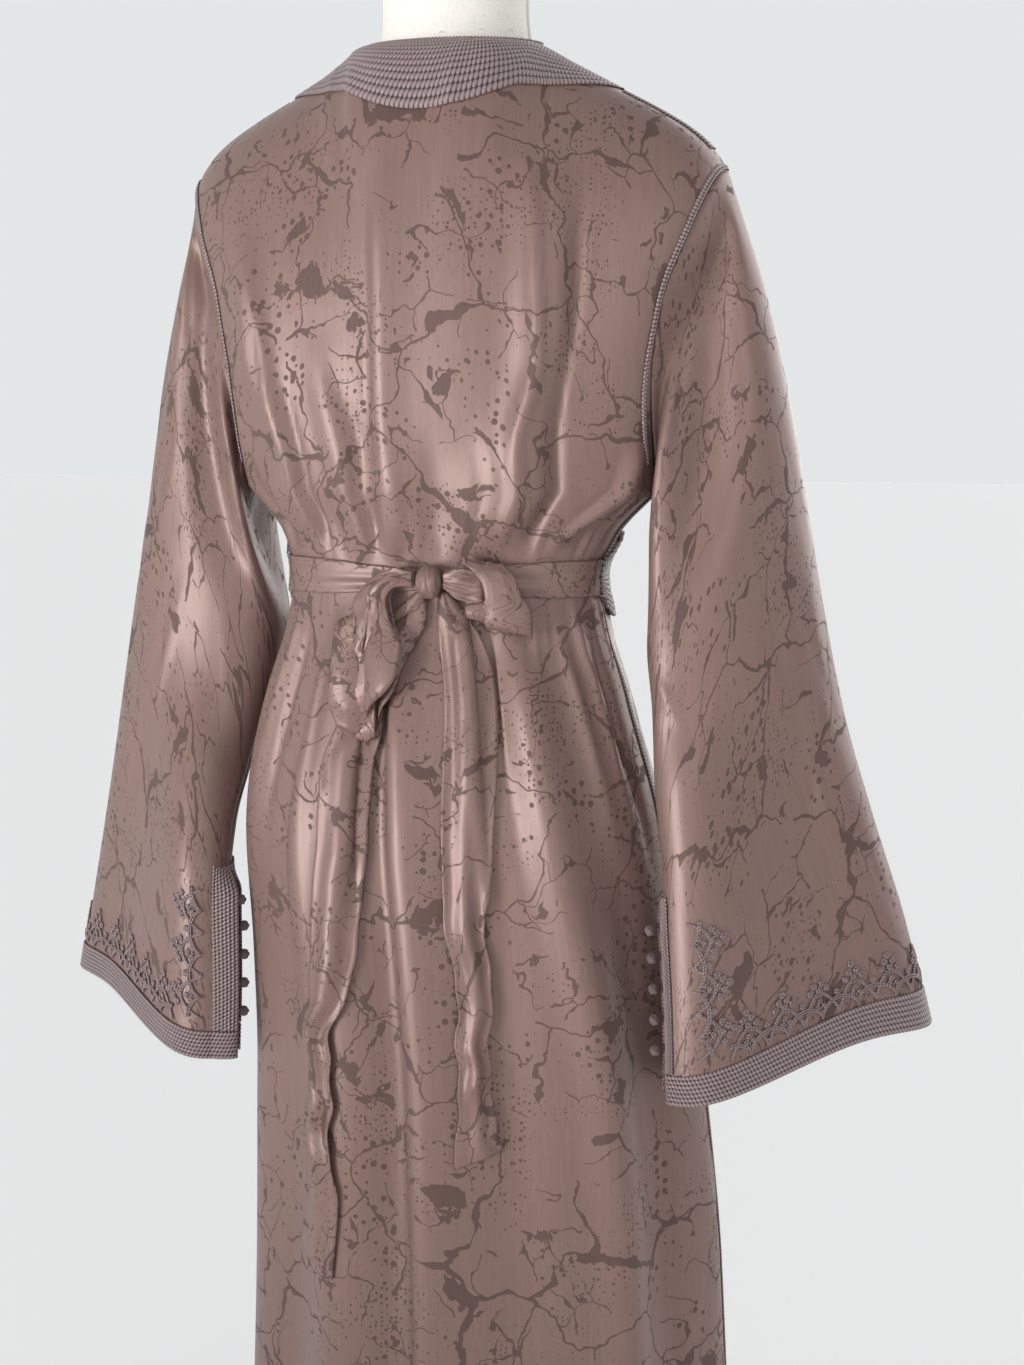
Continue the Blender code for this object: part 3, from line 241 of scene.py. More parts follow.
# Finer creases, too small for the solids.
CREASES = tuple(Fold(*row) for row in (
    (-0.0085, 3.4, 1.1, 0.05, 0.02, ((1.41, 12.6), (1.28, 12.6), (1.16, 12.4), (1.11, 15)), 1.25),
    (-0.0078, 1.3, 3.4, 0.06, 0.02, ((1.24, 24.5), (1.18, 17.5), (1.11, 17)), 1.25),
    (-0.0078, 3.4, 1.4, 0.05, 0.02, ((1.36, -41), (1.28, -44), (1.20, -39), (1.11, -38)), 1.25),
    (-0.0070, 2.2, 1.4, 0.03, 0.02, ((1.17, -62), (1.13, -49), (1.11, -40)), 1.25),
    (-0.0068, 2.4, 1.4, 0.03, 0.02, ((1.22, 40), (1.15, 34), (1.11, 37)), 1.25),
    (0.0031, 2.0, 2.0, 0.05, 0.02, ((1.18, -14), (1.11, -16)), 1.25),
    (-0.0090, 3.2, 1.3, 0.06, 0.01,
     ((1.05, 10.5), (0.92, 8.6), (0.75, 8.2), (0.50, 5.6), (0.04, 3)), 1.25),
    (-0.0051, 2.2, 2.2, 0.05, 0.10, ((1.06, 19), (0.95, 18), (0.80, 17.5)), 1.25),
    (0.0043, 2.0, 2.6, 0.05, 0.10, ((1.06, 31), (0.92, 34), (0.70, 36)), 1.25),
    (-0.0051, 2.4, 2.4, 0.04, 0.15, ((1.06, -24), (0.96, -26), (0.86, -29)), 1.25),
    (-0.0048, 2.0, 2.0, 0.04, 0.10, ((1.05, 48), (0.97, 50), (0.88, 53)), 1.25),
    (0.0041, 2.4, 2.4, 0.04, 0.10, ((1.05, -52), (0.97, -56), (0.88, -60)), 1.25),
    (-0.0051, 2.6, 2.6, 0.04, 0.12, ((1.05, -70), (0.95, -73), (0.85, -78)), 1.25),
    (0.0048, 2.4, 2.4, 0.04, 0.12, ((1.05, 105), (0.95, 103), (0.80, 104)), 1.25),
    (-0.0054, 2.6, 2.6, 0.04, 0.12, ((1.05, 127), (0.93, 128), (0.70, 127)), 1.25),
    (0.0044, 2.2, 2.2, 0.04, 0.12, ((1.05, 148), (0.90, 148), (0.60, 147)), 1.25),
    (-0.0054, 2.6, 2.6, 0.04, 0.12, ((1.05, -118), (0.90, -119), (0.65, -120)), 1.25),
    (0.0044, 2.2, 2.2, 0.04, 0.12, ((1.05, -140), (0.90, -139), (0.60, -140)), 1.25),
    (-0.0048, 2.2, 2.2, 0.05, 0.02, ((1.30, 118), (1.20, 126), (1.11, 133)), 1.25),
    (-0.0048, 2.2, 2.2, 0.05, 0.02, ((1.31, -114), (1.20, -121), (1.11, -130)), 1.25),
    (0.0080, 4.0, 1.5, 0.06, 0.02,
     ((1.40, -24), (1.32, -31), (1.25, -33.5), (1.18, -27), (1.11, -28)), 1.2),
    (0.0045, 1.6, 4.0, 0.06, 0.02, ((1.30, 52), (1.22, 46), (1.16, 38), (1.11, 45)), 1.2),
    (0.0035, 1.6, 2.4, 0.03, 0.05, ((1.46, 17), (1.40, 16), (1.34, 15)), 1.4),
    (0.0030, 2.2, 1.6, 0.03, 0.05, ((1.46, 24), (1.41, 23), (1.36, 21)), 1.4),
    (0.0025, 2.2, 2.2, 0.03, 0.05, ((1.46, -6), (1.40, -7), (1.33, -7)), 1.4),
    (0.0040, 1.2, 3.0, 0.04, 0.02, ((1.19, 8), (1.14, 6), (1.11, 7)), 1.2),
    (0.0040, 3.0, 1.2, 0.04, 0.02, ((1.20, -19), (1.15, -21), (1.11, -20)), 1.2),
    (0.0050, 1.4, 3.5, 0.03, 0.15, ((1.07, 33), (1.00, 35), (0.88, 38), (0.74, 40)), 1.2),
    (0.0050, 3.5, 1.4, 0.03, 0.15, ((1.07, -15), (1.00, -16), (0.90, -18), (0.76, -20)), 1.2),
    (0.0040, 1.4, 3.5, 0.03, 0.12, ((1.07, 58), (1.00, 60), (0.90, 62)), 1.2),
    (0.0045, 3.0, 1.4, 0.03, 0.12, ((1.07, -62), (1.00, -66), (0.88, -70)), 1.2),
))

SLEEVE_RIGHT = tuple(SleeveRow(*row) for row in (
    (0.00, 0.2090, 0.000, 1.386, 0.1630, 0.020, 1.155, 0.052, 0.050),
    (0.06, 0.2200, -0.001, 1.352, 0.1660, 0.026, 1.131, 0.050, 0.048),
    (0.14, 0.2360, -0.003, 1.300, 0.1610, 0.036, 1.098, 0.046, 0.044),
    (0.26, 0.2540, -0.006, 1.220, 0.1610, 0.048, 1.046, 0.042, 0.038),
    (0.38, 0.2680, -0.010, 1.142, 0.1670, 0.058, 0.993, 0.039, 0.034),
    (0.50, 0.2820, -0.014, 1.062, 0.1710, 0.067, 0.940, 0.037, 0.032),
    (0.62, 0.2980, -0.018, 0.985, 0.1780, 0.075, 0.888, 0.035, 0.031),
    (0.74, 0.3200, -0.022, 0.910, 0.1820, 0.082, 0.836, 0.035, 0.031),
    (0.87, 0.3460, -0.026, 0.829, 0.1870, 0.089, 0.774, 0.035, 0.032),
    (1.00, 0.3670, -0.030, 0.747, 0.1900, 0.095, 0.712, 0.035, 0.032),
))
SLEEVE_LEFT = tuple(SleeveRow(*row) for row in (
    (0.00, 0.2090, 0.000, 1.386, 0.1630, 0.020, 1.155, 0.052, 0.050),
    (0.06, 0.2150, -0.001, 1.352, 0.1660, 0.018, 1.131, 0.052, 0.046),
    (0.14, 0.2260, -0.003, 1.305, 0.1580, 0.010, 1.098, 0.050, 0.042),
    (0.26, 0.2430, -0.006, 1.225, 0.1430, 0.000, 1.046, 0.046, 0.036),
    (0.38, 0.2590, -0.010, 1.140, 0.1520, 0.010, 0.993, 0.042, 0.034),
    (0.50, 0.2750, -0.014, 1.058, 0.1640, 0.028, 0.940, 0.039, 0.032),
    (0.62, 0.2920, -0.018, 0.975, 0.1690, 0.056, 0.888, 0.037, 0.031),
    (0.74, 0.3080, -0.022, 0.894, 0.1685, 0.073, 0.836, 0.037, 0.031),
    (0.87, 0.3260, -0.026, 0.810, 0.1680, 0.076, 0.774, 0.037, 0.032),
    (1.00, 0.3410, -0.030, 0.745, 0.1690, 0.080, 0.712, 0.036, 0.032),
))
SLEEVE_FOLDS = tuple(SleeveFold(*row) for row in (
    (-0.020, 0.30, 0.22, 0.085, 0.02, 0.34), (-0.018, 0.70, 0.78, 0.085, 0.02, 0.34),
    (0.008, 0.16, 0.14, 0.070, 0.45, 1.20), (-0.010, 0.31, 0.33, 0.080, 0.55, 1.20),
    (0.007, 0.86, 0.84, 0.070, 0.50, 1.20), (-0.008, 0.68, 0.67, 0.080, 0.60, 1.20),
))


def smooth_step(low: float, high: float, value: Array) -> Array:
    """0 below low, 1 above high and a soft S between them."""
    share = np.clip((np.asarray(value, float) - low) / (high - low), 0.0, 1.0)
    return share * share * (3.0 - 2.0 * share)


def curve(xs: Sequence[float], ys: Sequence[float], x: Array) -> Array:
    """A smooth curve through points that never swings past them.

    Args:
        xs: Rising places of the points.
        ys: Values at the points.
        x: Places to read.

    Returns:
        The values at x, held constant beyond both ends.
    """
    px, py = np.asarray(xs, float), np.asarray(ys, float)
    x = np.clip(np.asarray(x, float), px[0], px[-1])
    steps = np.diff(py) / np.diff(px)
    slopes = np.concatenate([steps[:1], np.zeros(len(px) - 2), steps[-1:]])
    for k in range(1, len(px) - 1):
        if steps[k - 1] * steps[k] > 0.0:
            slopes[k] = 2.0 * steps[k - 1] * steps[k] / (steps[k - 1] + steps[k])
    i = np.clip(np.searchsorted(px, x, side="left") - 1, 0, len(px) - 2)
    width = px[i + 1] - px[i]
    t = (x - px[i]) / width
    return (py[i] * (1 + 2 * t) * (1 - t) ** 2 + width * slopes[i] * t * (1 - t) ** 2
            + py[i + 1] * t * t * (3 - 2 * t) + width * slopes[i + 1] * t * t * (t - 1))


def read(table: Sequence[Any], key: str, name: str, value: Array) -> Array:
    """One column of a table, read between its rows."""
    return curve([getattr(row, key) for row in table], [getattr(row, name) for row in table], value)


def read_row(table: Sequence[Any], key: str, value: Array) -> dict[str, Array]:
    """Every column of a table by name, read between its rows."""
    return {name: read(table, key, name, value) for name in type(table[0]).__annotations__}


def front_edge_x(up: Array) -> Array:
    """Half the width of the V neck, by the share of the way up to the shoulder."""
    ridge = curve(RIDGE_X, RIDGE_Z, NECK_HALF_WIDTH)
    edge_z = blend(ARMPIT_Z, ridge, np.sin(up * math.pi / 2))
    return NECK_HALF_WIDTH * np.maximum(0.0, (edge_z - V_NECK_Z) / (ridge - V_NECK_Z)) ** 1.1


def unit(vectors: Array) -> Array:
    """Vectors of length one."""
    return vectors / np.maximum(np.linalg.norm(vectors, axis=-1, keepdims=True), 1e-12)


def alike(*values: Array) -> list[Array]:
    """Numbers and arrays brought to one shape."""
    return np.broadcast_arrays(*(np.asarray(value, float) for value in values))


def blend(start: Array, end: Array, share: Array) -> Array:
    """The value a share of the way from start to end."""
    return start + (end - start) * share


@dataclass
class BodyCloth:
    """The worn surface of the kaftan's body, with the folds of the cut and the fine creases."""

    folds: tuple[Fold, ...] = FOLDS + CREASES
    gathers: int = 150
    seed: int = 11
    map_edge: float = 181.0
    map_bearing: float = 0.3
    map_foot: float = 0.01
    map_height: float = 0.0025

    def __post_init__(self) -> None:
        """Draws the map of the folds once, which every piece on the body then reads."""
        bearings = np.arange(-self.map_edge, self.map_edge + self.map_bearing, self.map_bearing)
        heights = np.arange(HEM_Z - self.map_foot, RIDGE_Z[0] + 0.02, self.map_height)
        self.relief = self.drawn_folds(bearings[None, :], heights[:, None])

    def skirt(self, bearing: Array, z: Array) -> Array:
        """Unfolded points below the armpit."""
        angle, row = np.radians(bearing), read_row(SECTIONS, "z", z)
        reach = np.where(np.abs(bearing) <= 90.0, row["back_y"], row["front_y"])
        x = row["centre_x"] + row["half_width"] * np.sin(angle)
        y = row["side_y"] + (reach - row["side_y"]) * np.abs(np.cos(angle))
        return np.stack([x, y, z + 0.0 * x], -1)

    def yoke(self, bearing: Array, up: Array, back: Array) -> Array:
        """Unfolded points between the armpit and the shoulder seam."""
        share = np.sin(np.radians(bearing))
        away = np.abs(share)
        rise = np.sin(up * math.pi / 2)
        roll = np.maximum(np.cos(up * math.pi / 2), 0.0) ** 0.8
        bulge = np.sqrt(np.maximum(0.0, 1.0 - away ** 2))
        row, ridge = read_row(YOKE, "up", up), curve(RIDGE_X, RIDGE_Z, NECK_HALF_WIDTH)
        neck = np.clip(away * SHOULDER_X / NECK_HALF_WIDTH, 0.0, 1.0)
        in_neck = away * SHOULDER_X < NECK_HALF_WIDTH
        soft = 0.85 * smooth_step(1.0, 0.90, up)
        rounded = 1.0 / (1.0 + np.exp((away * SHOULDER_X / NECK_HALF_WIDTH - 0.93) / 0.13))
        back_top_y = NAPE_Y * blend(np.sqrt(np.maximum(0.0, 1.0 - neck ** 2)), rounded, soft)
        back_top_z = np.where(in_neck, blend(NAPE_Z, ridge, neck ** 2),
                              curve(RIDGE_X, RIDGE_Z, away * SHOULDER_X))
        front_top_z = curve(RIDGE_X, RIDGE_Z, blend(NECK_HALF_WIDTH, SHOULDER_X, away))
        front_x = blend(front_edge_x(up), row["armhole_x"], away)
        x = np.where(back, share * row["armhole_x"], np.where(bearing >= 0, 1.0, -1.0) * front_x)
        top_y = np.where(back, back_top_y, 0.0)
        top_z = np.where(back, back_top_z, front_top_z)
        reach = np.where(back, blend(row["back_edge_y"], row["back_y"], bulge),
                         blend(row["front_edge_y"], row["front_y"], bulge))
        return np.stack([x, top_y + (reach - top_y) * roll, blend(ARMPIT_Z, top_z, rise)], -1)

    def plain(self, bearing: Array, height: Array, back: Array) -> Array:
        """Points without folds at bearings and heights."""
        low = self.skirt(bearing, np.minimum(height, ARMPIT_Z))
        high = self.yoke(bearing, np.clip(height - ARMPIT_Z, 0.0, 1.0), back)
        return np.where((height <= ARMPIT_Z)[..., None], low, high)

    @staticmethod
    def normal_of(point_at: PointAt, bearing: Array, height: Array, back: Array) -> Array:
        """Outward directions of a surface, by its two tangents.

        Args:
            point_at: Gives points by bearing, height and side.
            bearing: Bearings in degrees.
            height: Heights.
            back: Whether each point is on the back panel.

        Returns:
            Vectors of length one.
        """
        step, rise = 0.6, 0.006
        least = np.where(back, -90.0, np.where(bearing > 0, 90.0, -180.0))
        most = np.where(back, 90.0, np.where(bearing > 0, 180.0, -90.0))
        above = height > ARMPIT_Z
        low = np.where(above, np.maximum(bearing - step, least), bearing - step)
        high = np.where(above, np.minimum(bearing + step, most), bearing + step)
        foot = np.maximum(height - rise, HEM_Z)
        head = np.minimum(height + rise, ARMPIT_Z + 0.998)
        level = np.minimum(height, head)
        across = point_at(high, level, back) - point_at(low, level, back)
        along = point_at(bearing, head, back) - point_at(bearing, foot, back)
        return unit(np.cross(along, across))

    def fold_height(self, bearing: Array, z: Array) -> Array:
        """How far the folds push the cloth out, read from the map."""
        rows, columns = self.relief.shape
        row = np.clip((z - HEM_Z + self.map_foot) / self.map_height, 0, rows - 1.001)
        column = np.clip((bearing + self.map_edge) / self.map_bearing, 0, columns - 1.001)
        i, j = row.astype(int), column.astype(int)
        s, t = row - i, column - j
        return ((self.relief[i, j] * (1 - t) + self.relief[i, j + 1] * t) * (1 - s)
                + (self.relief[i + 1, j] * (1 - t) + self.relief[i + 1, j + 1] * t) * s)

    def drawn_folds(self, bearing: Array, z: Array) -> Array:
        """The folds of the cut, the fine creases and the gathers at the belt."""
        total = np.zeros(np.broadcast(bearing, z).shape)
        for fold in self.folds:
            top, foot = fold.path[0][0], fold.path[-1][0]
            path = sorted(fold.path)
            away = bearing - curve([p[0] for p in path], [p[1] for p in path], z)
            width = np.where(away > 0, fold.left_width, fold.right_width)
            strength = 1.0 - smooth_step(top - fold.top_fade, top + 0.02, z)
            if foot > HEM_Z + 0.1:
                strength = strength * smooth_step(foot - 0.01, foot + fold.foot_fade, z)
            total += fold.height * strength * np.exp(-np.abs(away / width) ** fold.power)
        held = 1.0 - 0.8 * np.exp(-((z - BELT_Z) / 0.030) ** 2)
        return total * held + self.gathered(bearing, z)

    def gathered(self, bearing: Array, z: Array) -> Array:
        """Small creases where the belt draws the cloth in, above and below it."""
        draw = np.random.default_rng(self.seed)
        total = np.zeros(np.broadcast(bearing, z).shape)
        for k in range(self.gathers):
            centre = draw.uniform(-180.0, 180.0)
            width = draw.uniform(0.9, 1.9)
            height = draw.uniform(0.0008, 0.0022) * draw.choice([-1.0, 1.0])
            length = draw.uniform(0.03, 0.11)
            slope = draw.uniform(-30.0, 30.0)
            above = k % 2 == 0
            away_z = (z - (BELT_Z + 0.014)) if above else ((BELT_Z - 0.014) - z)
            share = np.clip(away_z / length, 0.0, 1.0)
            strength = np.where(away_z > 0.0, np.sin(np.pi * share ** 0.6) * (1.0 - share), 0.0)
            total += height * strength * np.exp(-((bearing - centre - slope * away_z) / width) ** 2)
        return total

    def point(self, bearing: Array, height: Array, back: Array) -> Array:
        """Points of the folded cloth."""
        plain = self.plain(bearing, height, back)
        normal = self.normal_of(self.plain, bearing, height, back)
        return plain + normal * self.fold_height(bearing, plain[..., 2])[..., None]

    def at(self, bearing: Array, height: Array, out: Array = 0.0,
           back: Array | None = None) -> Array:
        """Points of the folded cloth, moved out.

        Args:
            bearing: Bearings in degrees, to 180 on either side.
            height: Heights.
            out: How far the points are moved out.
            back: Whether each point is on the back panel; by bearing where it is None.

        Returns:
            Points with the same shape as the inputs and a last axis of 3.
        """
        bearing, height, out = alike(bearing, height, out)
        back = np.abs(bearing) <= 90.0 if back is None else np.broadcast_to(back, bearing.shape)
        normal = self.normal_of(self.point, bearing, height, back)
        top = (height >= ARMPIT_Z + 0.999)[..., None]
        normal = unit(np.where(top, normal * np.array([1.0, 0.0, 1.0]), normal))
        return self.point(bearing, height, back) + normal * out[..., None]

    def over(self, x: Array, z: Array, out: Array = 0.0) -> Array:
        """Points over the skirt's back at an x and a height."""
        share = (x - read(SECTIONS, "z", "centre_x", z)) / read(SECTIONS, "z", "half_width", z)
        return self.at(np.degrees(np.arcsin(np.clip(share, -0.98, 0.98))), z, out)


@dataclass
class SleeveCloth:
    """A worn sleeve as an open tube; around runs 0 to 1 from its inner edge over the back."""

    side: float
    table: tuple[SleeveRow, ...]
    body: BodyCloth
    seed: int
    creases: int = 26
    reach: float = 0.012

    def __post_init__(self) -> None:
        """Keeps the armhole's edge, which every row near the shoulder reads."""
        self.edge_around = np.linspace(0.0, 1.0, 721)
        back = self.edge_around <= 0.5
        height = ARMPIT_Z + np.where(back, 2.0 * self.edge_around, 2.0 - 2.0 * self.edge_around)
        bearing = np.full(back.shape, self.side * 90.0)
        edge = self.body.point(bearing, height, back)
        self.edge = edge + np.array([self.side * 0.0005, 0.0, 0.0])

    def armhole(self, around: Array) -> Array:
        """Points of the armhole's edge."""
        return np.stack([np.interp(around, self.edge_around, column) for column in self.edge.T],
                        -1)

    def loose(self, around: Array, down: Array) -> Array:
        """Points of the sleeve as it hangs, before it is held to the armhole."""
        row = read_row(self.table, "down", down)
        face = np.where(around <= 0.5, 1.0, -1.0)
        share = (1.0 - np.cos(2 * np.pi * around)) / 2
        depth = np.where(face > 0, row["back_depth"], row["front_depth"])
        swell = np.abs(np.sin(2 * np.pi * around)) ** 0.75
        x = self.side * blend(row["inner_x"], row["outer_x"], share)
        y = blend(row["inner_y"], row["outer_y"], share) + face * depth * swell
        z = (blend(row["inner_z"], row["outer_z"], share)
             + 0.012 * smooth_step(0.7, 1.0, down) * np.sin(np.pi * share) * (share - 0.35) * 2)
        push = np.zeros(np.shape(x))
        for fold in SLEEVE_FOLDS:
            centre = blend(fold.around_top, fold.around_foot,
                           smooth_step(fold.start, fold.end, down))
            strength = (smooth_step(fold.start - 0.02, fold.start + 0.10, down)
                        * (1.0 - smooth_step(fold.end - 0.16, fold.end, down)))
            push += fold.height * strength * np.exp(-((around - centre) / fold.width) ** 2)
        away = np.abs(around - 0.5)
        push -= (0.015 * np.exp(-((down - 0.055) / 0.035) ** 2)
                 * smooth_step(0.04, 0.16, away) * (1.0 - smooth_step(0.40, 0.48, away)))
        return np.stack([x, y + face * (push + self.creased(around, down)), z], -1)

    def creased(self, around: Array, down: Array) -> Array:
        """Small creases: dragged ones under the armhole and long soft ones down the sleeve."""
        draw = np.random.default_rng(self.seed)
        total = np.zeros(np.broadcast(around, down).shape)
        for _ in range(self.creases):
            start, length = draw.uniform(0.02, 0.6), draw.uniform(0.10, 0.35)
            centre, drift = draw.uniform(0.05, 0.95), draw.uniform(-0.12, 0.12)
            width, height = draw.uniform(0.010, 0.024), draw.uniform(0.0008, 0.0022)
            share = np.clip((down - start) / length, 0.0, 1.0)
            total += (height * draw.choice([-1.0, 1.0]) * np.sin(np.pi * share)
                      * np.exp(-((around - centre - drift * share) / width) ** 2))
        return total

    def point(self, around: Array, down: Array) -> Array:
        """Points of the worn sleeve, with its slit."""
        loose = self.loose(around, down)
        hold = (1.0 - smooth_step(0.0, 0.26, down))[..., None]
        gap = 0.007 * smooth_step(SLIT_TOP, SLIT_TOP + 0.06, down)
        near_first = np.clip(1.0 - around * 18.0, 0.0, 1.0)
        near_last = np.clip(1.0 - (1.0 - around) * 18.0, 0.0, 1.0)
        loose[..., 1] += gap * near_first - gap * 1.5 * near_last
        first_share = 1.9 if self.side > 0 else 0.0
        loose[..., 0] -= self.side * gap * (near_last + first_share * near_first)
        top = self.loose(around, np.zeros(np.shape(down)))
        return loose + (self.armhole(around) - top) * hold

    def at(self, around: Array, down: Array, out: Array = 0.0) -> Array:
        """Points of the worn sleeve, moved out.

        Args:
            around: Place round the tube, 0 to 1.
            down: Place down the sleeve, 0 to 1.
            out: How far the points are moved out.

        Returns:
            Points with the same shape as the inputs and a last axis of 3.
        """
        around, down, out = alike(around, down, out)
        slit = down > SLIT_TOP
        low, high = around - self.reach, around + self.reach
        low = np.where(slit, np.maximum(low, 0.0), low % 1.0)
        high = np.where(slit, np.minimum(high, 1.0), np.where(high > 1.0, high - 1.0, high))
        head, foot = np.maximum(down - self.reach, 0.0), np.minimum(down + self.reach, 1.0)
        across = self.point(high, down) - self.point(low, down)
        along = self.point(around, foot) - self.point(around, head)
        normal = unit(np.cross(across, along)) * self.side
        middle = (self.loose(np.zeros(np.shape(down)), down)
                  + self.loose(np.full(np.shape(down), 0.5), down)) / 2
        point = self.point(around, down)
        inward = (normal * (point - middle)).sum(-1, keepdims=True) < 0
        normal = np.where(inward, -normal, normal)
        top = (down == 0.0)[..., None]
        normal = unit(np.where(top, normal * np.array([0.0, 1.0, 1.0]), normal))
        return point + normal * out[..., None]


def deselect() -> None:
    """Leaves nothing selected, because an operator acts on all that is."""
    if bpy.context.object and bpy.context.object.mode != "OBJECT":
        bpy.ops.object.mode_set(mode="OBJECT")
    bpy.ops.object.select_all(action="DESELECT")


def activate(piece: bpy.types.Object) -> None:
    """Makes a piece the only one that operators act on."""
    deselect()
    piece.select_set(True)
    bpy.context.view_layer.objects.active = piece


def edit_all(*steps: Callable[[], Any]) -> None:
    """Runs mesh operators on the whole active piece in edit mode."""
    bpy.ops.object.mode_set(mode="EDIT")
    bpy.ops.mesh.select_all(action="SELECT")
    for step in steps:
        step()
    bpy.ops.object.mode_set(mode="OBJECT")


def lengths(points: Array) -> Array:
    """Metres across and along a grid of points, as its flat pattern has them.

    Args:
        points: A grid of rows by columns by 3.

    Returns:
        The same grid with the two flat coordinates in metres.
    """
    across = np.linalg.norm(np.diff(points, axis=1), axis=-1)
    along = np.linalg.norm(np.diff(points, axis=0), axis=-1)
    u = np.concatenate([np.zeros((len(points), 1)), np.cumsum(across, axis=1)], axis=1)
    v = np.concatenate([np.zeros((1, points.shape[1])), np.cumsum(along, axis=0)], axis=0)
    return np.stack([u - u.mean(axis=1, keepdims=True), v], -1)


def sheet_mesh(name: str, points: Array, outward: Array, metres: Array | None = None,
               tube: bool = False) -> bpy.types.Object:
    """A grid primitive laid over points, with its flat pattern as the UV map.

    Args:
        name: Name of the piece.
        points: Rows by columns by 3.
        outward: A direction or grid of directions that the faces look to.
        metres: The flat pattern; measured over the points where it is None.
        tube: Whether the first and last column are joined where they meet.

    Returns:
        The new object, its faces outward.
    """
    metres = lengths(points) if metres is None else metres
    facing = np.cross(np.gradient(points, axis=1), np.gradient(points, axis=0))
    if (facing * outward).sum() < 0:
        points, metres = points[:, ::-1], metres[:, ::-1]
    rows, columns = points.shape[:2]
    deselect()
    bpy.ops.mesh.primitive_grid_add(x_subdivisions=columns - 1, y_subdivisions=rows - 1, size=1.0)
    piece = bpy.context.object
    piece.name = piece.data.name = name
    mesh = piece.data
    mesh.vertices.foreach_set("co", np.ascontiguousarray(points, dtype=np.float32).ravel())
    corner = np.empty(len(mesh.loops), dtype=np.int32)
    mesh.loops.foreach_get("vertex_index", corner)
    flat = metres.reshape(-1, 2)[corner]
    mesh.uv_layers[0].data.foreach_set("uv", np.ascontiguousarray(flat, dtype=np.float32).ravel())
    mesh.update()
    if tube:
        edit_all(lambda: bpy.ops.mesh.remove_doubles(threshold=MERGE_DISTANCE))
    return piece


def ball_mesh(name: str, segments: int, rings: int, radius: float) -> bpy.types.Object:
    """A ball about the origin."""
    deselect()
    bpy.ops.mesh.primitive_uv_sphere_add(segments=segments, ring_count=rings, radius=radius)
    ball = bpy.context.object
    ball.name = ball.data.name = name
    return ball


def middle_and_half(box: Any) -> tuple[Array, Array]:
    """The middle of a box and half its size."""
    low, high = (np.array(corner) for corner in box)
    return (low + high) / 2, (high - low) / 2


def thicken(piece: bpy.types.Object, thickness: float) -> bpy.types.Object:
    """Gives a sheet its thickness, inwards from its faces, and smooth shading."""
    activate(piece)
    bpy.ops.object.modifier_add(type="SOLIDIFY")
    wall = piece.modifiers[-1]
    wall.thickness, wall.offset, wall.use_rim = thickness, -1.0, True
    bpy.ops.object.modifier_apply(modifier=wall.name)
    bpy.ops.object.shade_smooth()
    return piece


def cords_mesh(name: str, paths: Sequence[Array], radius: float, sides: int) -> bpy.types.Object:
    """Thin round cords along paths, as one mesh with lengths for its UV map.

    Args:
        name: Name of the piece.
        paths: One array of points for each cord.
        radius: Radius of the cords.
        sides: Corners of a cord's section.

    Returns:
        The new object.
    """
    vertices, faces, flats = [], [], []
    turn = np.arange(sides) * 2 * math.pi / sides
    for path in paths:
        path = np.asarray(path, float)
        tangent = unit(np.gradient(path, axis=0))
        side = np.cross(tangent, unit(path.mean(axis=0) * np.array([1.0, 1.0, 0.0]) + 1e-6))
        side = unit(np.where(np.linalg.norm(side, axis=-1, keepdims=True) < 1e-3,
                             np.array([0.0, 0.0, 1.0]), side))
        up = unit(np.cross(side, tangent))
        ring = (path[:, None] + radius * (np.cos(turn)[None, :, None] * side[:, None]
                                          + np.sin(turn)[None, :, None] * up[:, None]))
        along = np.concatenate([[0.0], np.cumsum(np.linalg.norm(np.diff(path, axis=0), axis=-1))])
        start = len(vertices)
        vertices += [tuple(p) for p in ring.reshape(-1, 3)]
        for i in range(len(path) - 1):
            for k in range(sides):
                n = (k + 1) % sides
                faces.append((start + i * sides + k, start + i * sides + n,
                              start + (i + 1) * sides + n, start + (i + 1) * sides + k))
                flats += [(k / sides, along[i]), ((k + 1) / sides, along[i]),
                          ((k + 1) / sides, along[i + 1]), (k / sides, along[i + 1])]
        for i, order in ((0, -1), (len(path) - 1, 1)):
            faces.append(tuple(start + i * sides + k for k in range(sides))[::order])
            flats += [(0.5, along[i])] * sides
    mesh = bpy.data.meshes.new(name)
    mesh.from_pydata(vertices, [], faces)
    layer = mesh.uv_layers.new(name="UVMap")
    layer.data.foreach_set("uv", np.asarray(flats, dtype=np.float32).ravel())
    piece = bpy.data.objects.new(name, mesh)
    bpy.context.scene.collection.objects.link(piece)
    activate(piece)
    edit_all(lambda: bpy.ops.mesh.normals_make_consistent(inside=False))
    bpy.ops.object.shade_smooth()
    return piece


def dress(piece: bpy.types.Object, material: bpy.types.Material, slot: str,
          *nodes: str) -> bpy.types.Object:
    """Gives a piece its material and lets it stand for its CAD nodes."""
    piece.data.materials.clear()
    piece.data.materials.append(material)
    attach(piece, "root")
    if nodes:
        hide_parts(*nodes)
    LOG.info("%s: %d faces", piece.name, len(piece.data.polygons))
    return piece


